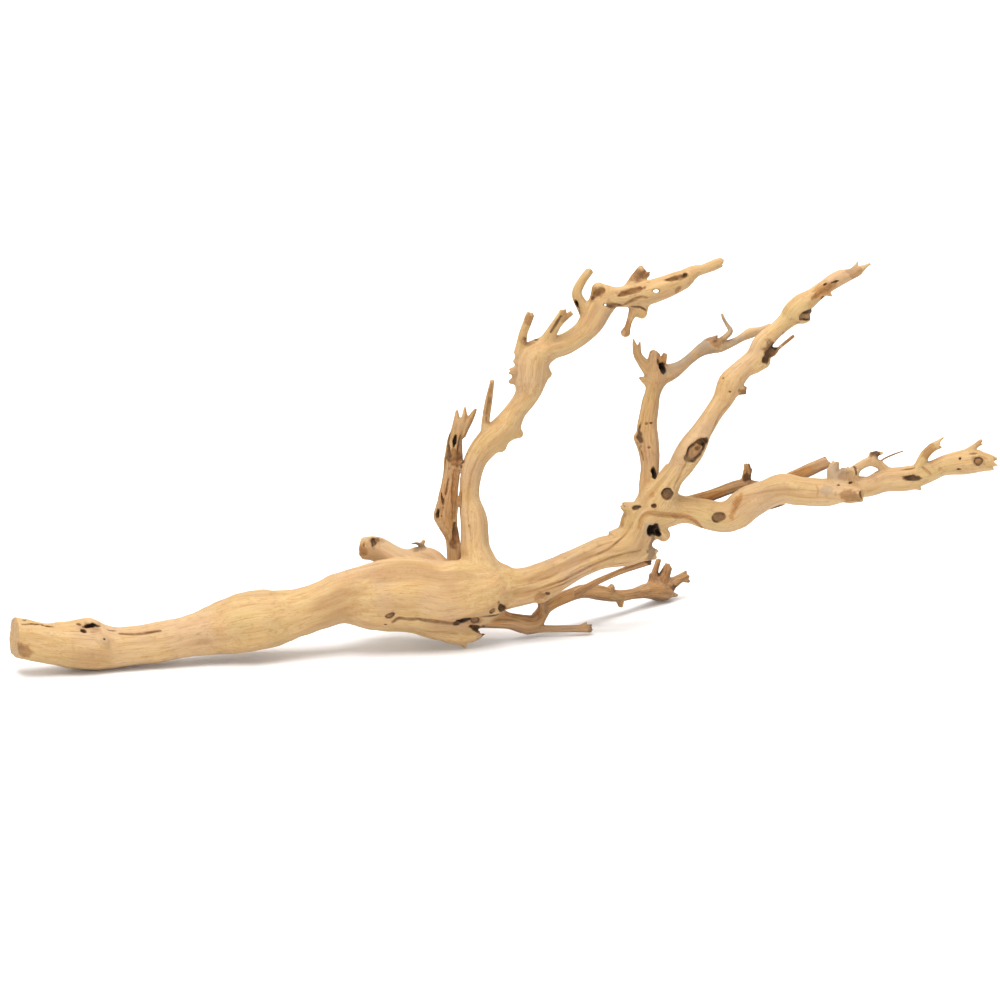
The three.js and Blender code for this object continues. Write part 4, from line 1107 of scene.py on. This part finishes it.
class Nodes:
    """Short ways to add shader nodes to a material."""

    def __init__(self, material):
        material.use_nodes = True
        self.tree = material.node_tree
        self.tree.nodes.clear()

    def add(self, kind, inputs=None, **settings):
        node = self.tree.nodes.new(kind)
        for name, value in settings.items():
            setattr(node, name, value)
        for name, value in (inputs or {}).items():
            self.put(node.inputs[name], value)
        return node

    def put(self, socket, value):
        if isinstance(value, bpy.types.NodeSocket):
            self.tree.links.new(value, socket)
        else:
            socket.default_value = value

    def amount(self, name):
        """A mesh attribute of one number."""
        return self.add("ShaderNodeAttribute", attribute_name=name).outputs["Fac"]

    def vector(self, name):
        """A mesh attribute of three numbers."""
        return self.add("ShaderNodeAttribute", attribute_name=name).outputs["Vector"]

    def parts(self, vector):
        return self.add("ShaderNodeSeparateXYZ", {"Vector": vector}).outputs

    def math(self, operation, a, b=0.0, clamp=False):
        node = self.add("ShaderNodeMath", operation=operation, use_clamp=clamp)
        self.put(node.inputs[0], a)
        self.put(node.inputs[1], b)
        return node.outputs[0]

    def stretched(self, vector, scale):
        return self.add("ShaderNodeMapping", {"Vector": vector, "Scale": scale}).outputs[0]

    def noise(self, vector, scale=1.0, detail=3.0, roughness=0.55):
        inputs = {"Vector": vector, "Scale": scale, "Detail": detail, "Roughness": roughness}
        return self.add("ShaderNodeTexNoise", inputs).outputs["Fac"]

    def band(self, value, low, high, out_low=0.0, out_high=1.0):
        node = self.add("ShaderNodeMapRange", interpolation_type="SMOOTHSTEP")
        self.put(node.inputs["Value"], value)
        names = ("From Min", "From Max", "To Min", "To Max")
        for name, number in zip(names, (low, high, out_low, out_high)):
            node.inputs[name].default_value = number
        return node.outputs["Result"]

    def mix(self, share, a, b):
        node = self.add("ShaderNodeMix", data_type="RGBA")
        self.put(node.inputs[0], share)
        self.put(node.inputs[6], a)
        self.put(node.inputs[7], b)
        return node.outputs[2]

    def surface(self, specular, inputs):
        """The principled shader that the material's surface is."""
        shader = self.add("ShaderNodeBsdfPrincipled", {"Specular IOR Level": specular, **inputs})
        self.add("ShaderNodeOutputMaterial", {"Surface": shader.outputs["BSDF"]})

    def veil(self, share, strength, colour, over):
        """The colour with another laid over it, strength times share thick."""
        return self.mix(self.math("MULTIPLY", share, strength), colour, over)


def bare_wood(name, warmth):
    """Bare dry wood with its grain along the limb. Warmth moves it from pale straw to dead brown."""
    material = bpy.data.materials.new(name)
    n = Nodes(material)
    grain = n.vector("grain")
    place = n.add("ShaderNodeTexCoord").outputs["Object"]
    tint = n.parts(n.vector("tint"))
    tone = n.parts(n.vector("tone"))
    proud = n.amount("proud")
    # dark and brown hold the marks' tints and the painted shade of undersides; grey holds grey patches
    # and the painted grey shade low on each limb.
    dark, brown, gold = tint[0], tint[1], tint[2]
    grey, dead, weathered = tone[0], tone[1], tone[2]

    fibres = n.noise(n.stretched(grain, (0.09, 1.9, 1.9)), detail=4, roughness=0.6)
    threads = n.noise(n.stretched(grain, (0.05, 0.9, 0.9)), detail=5, roughness=0.7)
    streaks = n.noise(n.stretched(grain, (0.03, 0.55, 0.55)), detail=3)
    bands = n.noise(n.stretched(grain, (0.012, 0.2, 0.2)), detail=2)
    drifts = n.noise(place, scale=26, detail=2)
    blotches = n.noise(place, scale=55, detail=3)
    mottle = n.noise(place, scale=260, detail=4, roughness=0.65)
    specks = n.noise(place, scale=1500, detail=2, roughness=0.7)

    pale = linear(198, 166, 117)
    straw = linear(188, 151, 97)
    colour = n.mix(n.band(streaks, 0.36, 0.66), pale, straw)
    for pattern, low, high, strength, shade in (
        (bands, 0.45, 0.68, 0.4, (186, 140, 98)),
        (blotches, 0.48, 0.72, 0.4, (197, 153, 98)),
        (drifts, 0.5, 0.66, 0.5, (190, 157, 125)),
        (drifts, 0.46, 0.32, 0.4, (181, 154, 99)),
        (fibres, 0.5, 0.68, 0.45, (148, 106, 66)),
        (threads, 0.6, 0.7, 0.4, (128, 88, 52)),
        (mottle, 0.54, 0.74, 0.35, (146, 103, 66)),
        (specks, 0.62, 0.74, 0.3, (114, 78, 48)),
    ):
        colour = n.veil(n.band(pattern, low, high), strength, colour, linear(*shade))

    across = n.parts(grain)
    squares = n.math("ADD", n.math("POWER", across[1], 2.0), n.math("POWER", across[2], 2.0))
    years = n.math("MULTIPLY", n.math("SQRT", squares), 4.6)
    years = n.math("SINE", n.math("ADD", years, n.math("MULTIPLY", blotches, 9.0)))
    ringed = n.math("MULTIPLY", n.band(years, 0.0, 1.0), n.amount("sawn"))
    colour = n.veil(ringed, 0.5, colour, linear(150, 108, 66))

    # Painted shade: the wood darkens where the relief sinks into flutes and grooves.
    uneven = n.math("MULTIPLY", n.math("SUBTRACT", fibres, 0.5), 0.5)
    groove = n.band(n.math("ADD", proud, uneven), 0.0, -0.42)
    colour = n.veil(groove, 0.42, colour, linear(134, 92, 55))

    deadness = n.math("MULTIPLY", dead, n.band(streaks, 0.25, 0.7, 0.65, 1.15))
    deadness = n.math("ADD", deadness, warmth, clamp=True)
    dead_wood = n.mix(n.band(fibres, 0.38, 0.64), linear(170, 116, 64), linear(98, 61, 31))
    dead_wood = n.veil(n.band(threads, 0.5, 0.64), 0.6, dead_wood, linear(66, 40, 22))
    dead_wood = n.veil(n.band(bands, 0.56, 0.4), 0.45, dead_wood, linear(188, 136, 82))
    colour = n.mix(deadness, colour, dead_wood)
    washed = n.math("MULTIPLY", weathered, n.band(blotches, 0.42, 0.66), clamp=True)
    colour = n.veil(washed, 0.8, colour, linear(152, 133, 112))
    # Grey patches, and the painted grey shade low on each limb.
    colour = n.veil(grey, 0.7, colour, linear(158, 140, 120))
    golden = n.mix(n.band(fibres, 0.4, 0.62), linear(184, 130, 66), linear(154, 100, 46))
    colour = n.veil(gold, 0.8, colour, golden)
    # Brown marks and the painted underside shade go deep brown; dark marks, the painted shade in pits
    # and splits, and the darkest underside shade go near black.
    deep_brown_marks_and_shade = n.mix(n.band(mottle, 0.4, 0.62), linear(136, 88, 42), linear(92, 57, 28))
    colour = n.veil(brown, 0.85, colour, deep_brown_marks_and_shade)
    colour = n.veil(dark, 0.96, colour, linear(16, 9, 5))

    height = n.math("ADD", n.math("MULTIPLY", fibres, 0.55), n.math("MULTIPLY", specks, 0.25))
    height = n.math("ADD", height, n.math("MULTIPLY", mottle, 0.5))
    bump = n.add("ShaderNodeBump", {"Height": height, "Strength": 0.6, "Distance": 0.0006})
    rough = n.band(fibres, 0.3, 0.7, 0.58, 0.78)
    n.surface(0.32, {"Base Color": colour, "Roughness": rough, "Normal": bump.outputs["Normal"]})
    return material


PALE_WOOD = bare_wood("pale_wood", 0.0)
BROWN_WOOD = bare_wood("brown_wood", 0.04)
BROWN_LIMBS = ("split_snag", "rear_twig", "lower_twig", "lower_spur", "strip_twig", "dry_fibre")

for limb in BRANCH:
    wood = limb_mesh(limb)
    dark_one = limb in BROWN_LIMBS
    wood.data.materials.append(BROWN_WOOD if dark_one else PALE_WOOD)
    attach(wood, "root")
    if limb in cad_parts:
        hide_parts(limb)


# Stage, lights and camera
def row_point(x, y, z):
    """A point of the branch's own frame in millimetres, in the row frame in metres."""
    return Vector(((np.array([x, y, z]) - CENTRE) * MM).tolist())


FLOOR_REACH = 14.0  # metres from the branch to the floor's front and side edges
WALL_HEIGHT = 6.0
CURVE_START, CURVE = 2.0, 1.2  # where the floor starts to curve up, and the curve's radius
CURVE_STEPS = 12


def pale_floor():
    """A large level floor that curves up into a back wall."""
    profile = [(-FLOOR_REACH, 0.0)]
    for i in range(CURVE_STEPS + 1):
        angle = math.pi / 2 * i / CURVE_STEPS
        profile.append((CURVE_START + CURVE * math.sin(angle), CURVE - CURVE * math.cos(angle)))
    profile.append((CURVE_START + CURVE, WALL_HEIGHT))
    vertices = []
    for x in (-FLOOR_REACH, FLOOR_REACH):
        vertices += [(x, y, z - 0.0002) for y, z in profile]
    count = len(profile)
    faces = [(i, i + count, i + count + 1, i + 1) for i in range(count - 1)]
    mesh = bpy.data.meshes.new("floor")
    mesh.from_pydata(vertices, [], faces)
    mesh.polygons.foreach_set("use_smooth", np.ones(len(faces), bool))
    material = bpy.data.materials.new("floor_paint")
    n = Nodes(material)
    n.surface(0.1, {"Base Color": (0.93, 0.93, 0.93, 1), "Roughness": 0.9})
    mesh.materials.append(material)
    floor = in_scene("floor", mesh)


def area_light(name, place, target, size, power):
    data = bpy.data.lights.new(name, "AREA")
    data.shape = "DISK"
    data.size = size
    data.energy = power
    light = in_scene(name, data)
    light.location = place
    light.rotation_euler = (Vector(target) - Vector(place)).to_track_quat("-Z", "Y").to_euler()


pale_floor()
area_light("top_light", (-0.25, -0.5, 1.8), (0, 0, 0.05), 1.3, 34)
area_light("front_light", (0.5, -2.4, 0.9), (0, 0, 0.08), 1.4, 7)
area_light("wall_light", (0, 0.6, 2.4), (0, 3.2, 1.0), 2.0, 70)

world = bpy.data.worlds.new("studio")
world.use_nodes = True
world.node_tree.nodes["Background"].inputs["Color"].default_value = (1, 1, 1, 1)
world.node_tree.nodes["Background"].inputs["Strength"].default_value = 0.6
bpy.context.scene.world = world
bpy.context.scene.view_settings.view_transform = "Standard"

LOOK_AT = row_point(0, 60, 69)
DISTANCE = 1.25
DOWNWARD = math.radians(15)

camera_data = bpy.data.cameras.new("camera")
camera_data.lens = 90
camera_data.sensor_width = 36
camera = in_scene("camera", camera_data)
camera.location = LOOK_AT + DISTANCE * Vector((0, -math.cos(DOWNWARD), math.sin(DOWNWARD)))
camera.rotation_euler = (LOOK_AT - camera.location).to_track_quat("-Z", "Y").to_euler()
bpy.context.scene.camera = camera
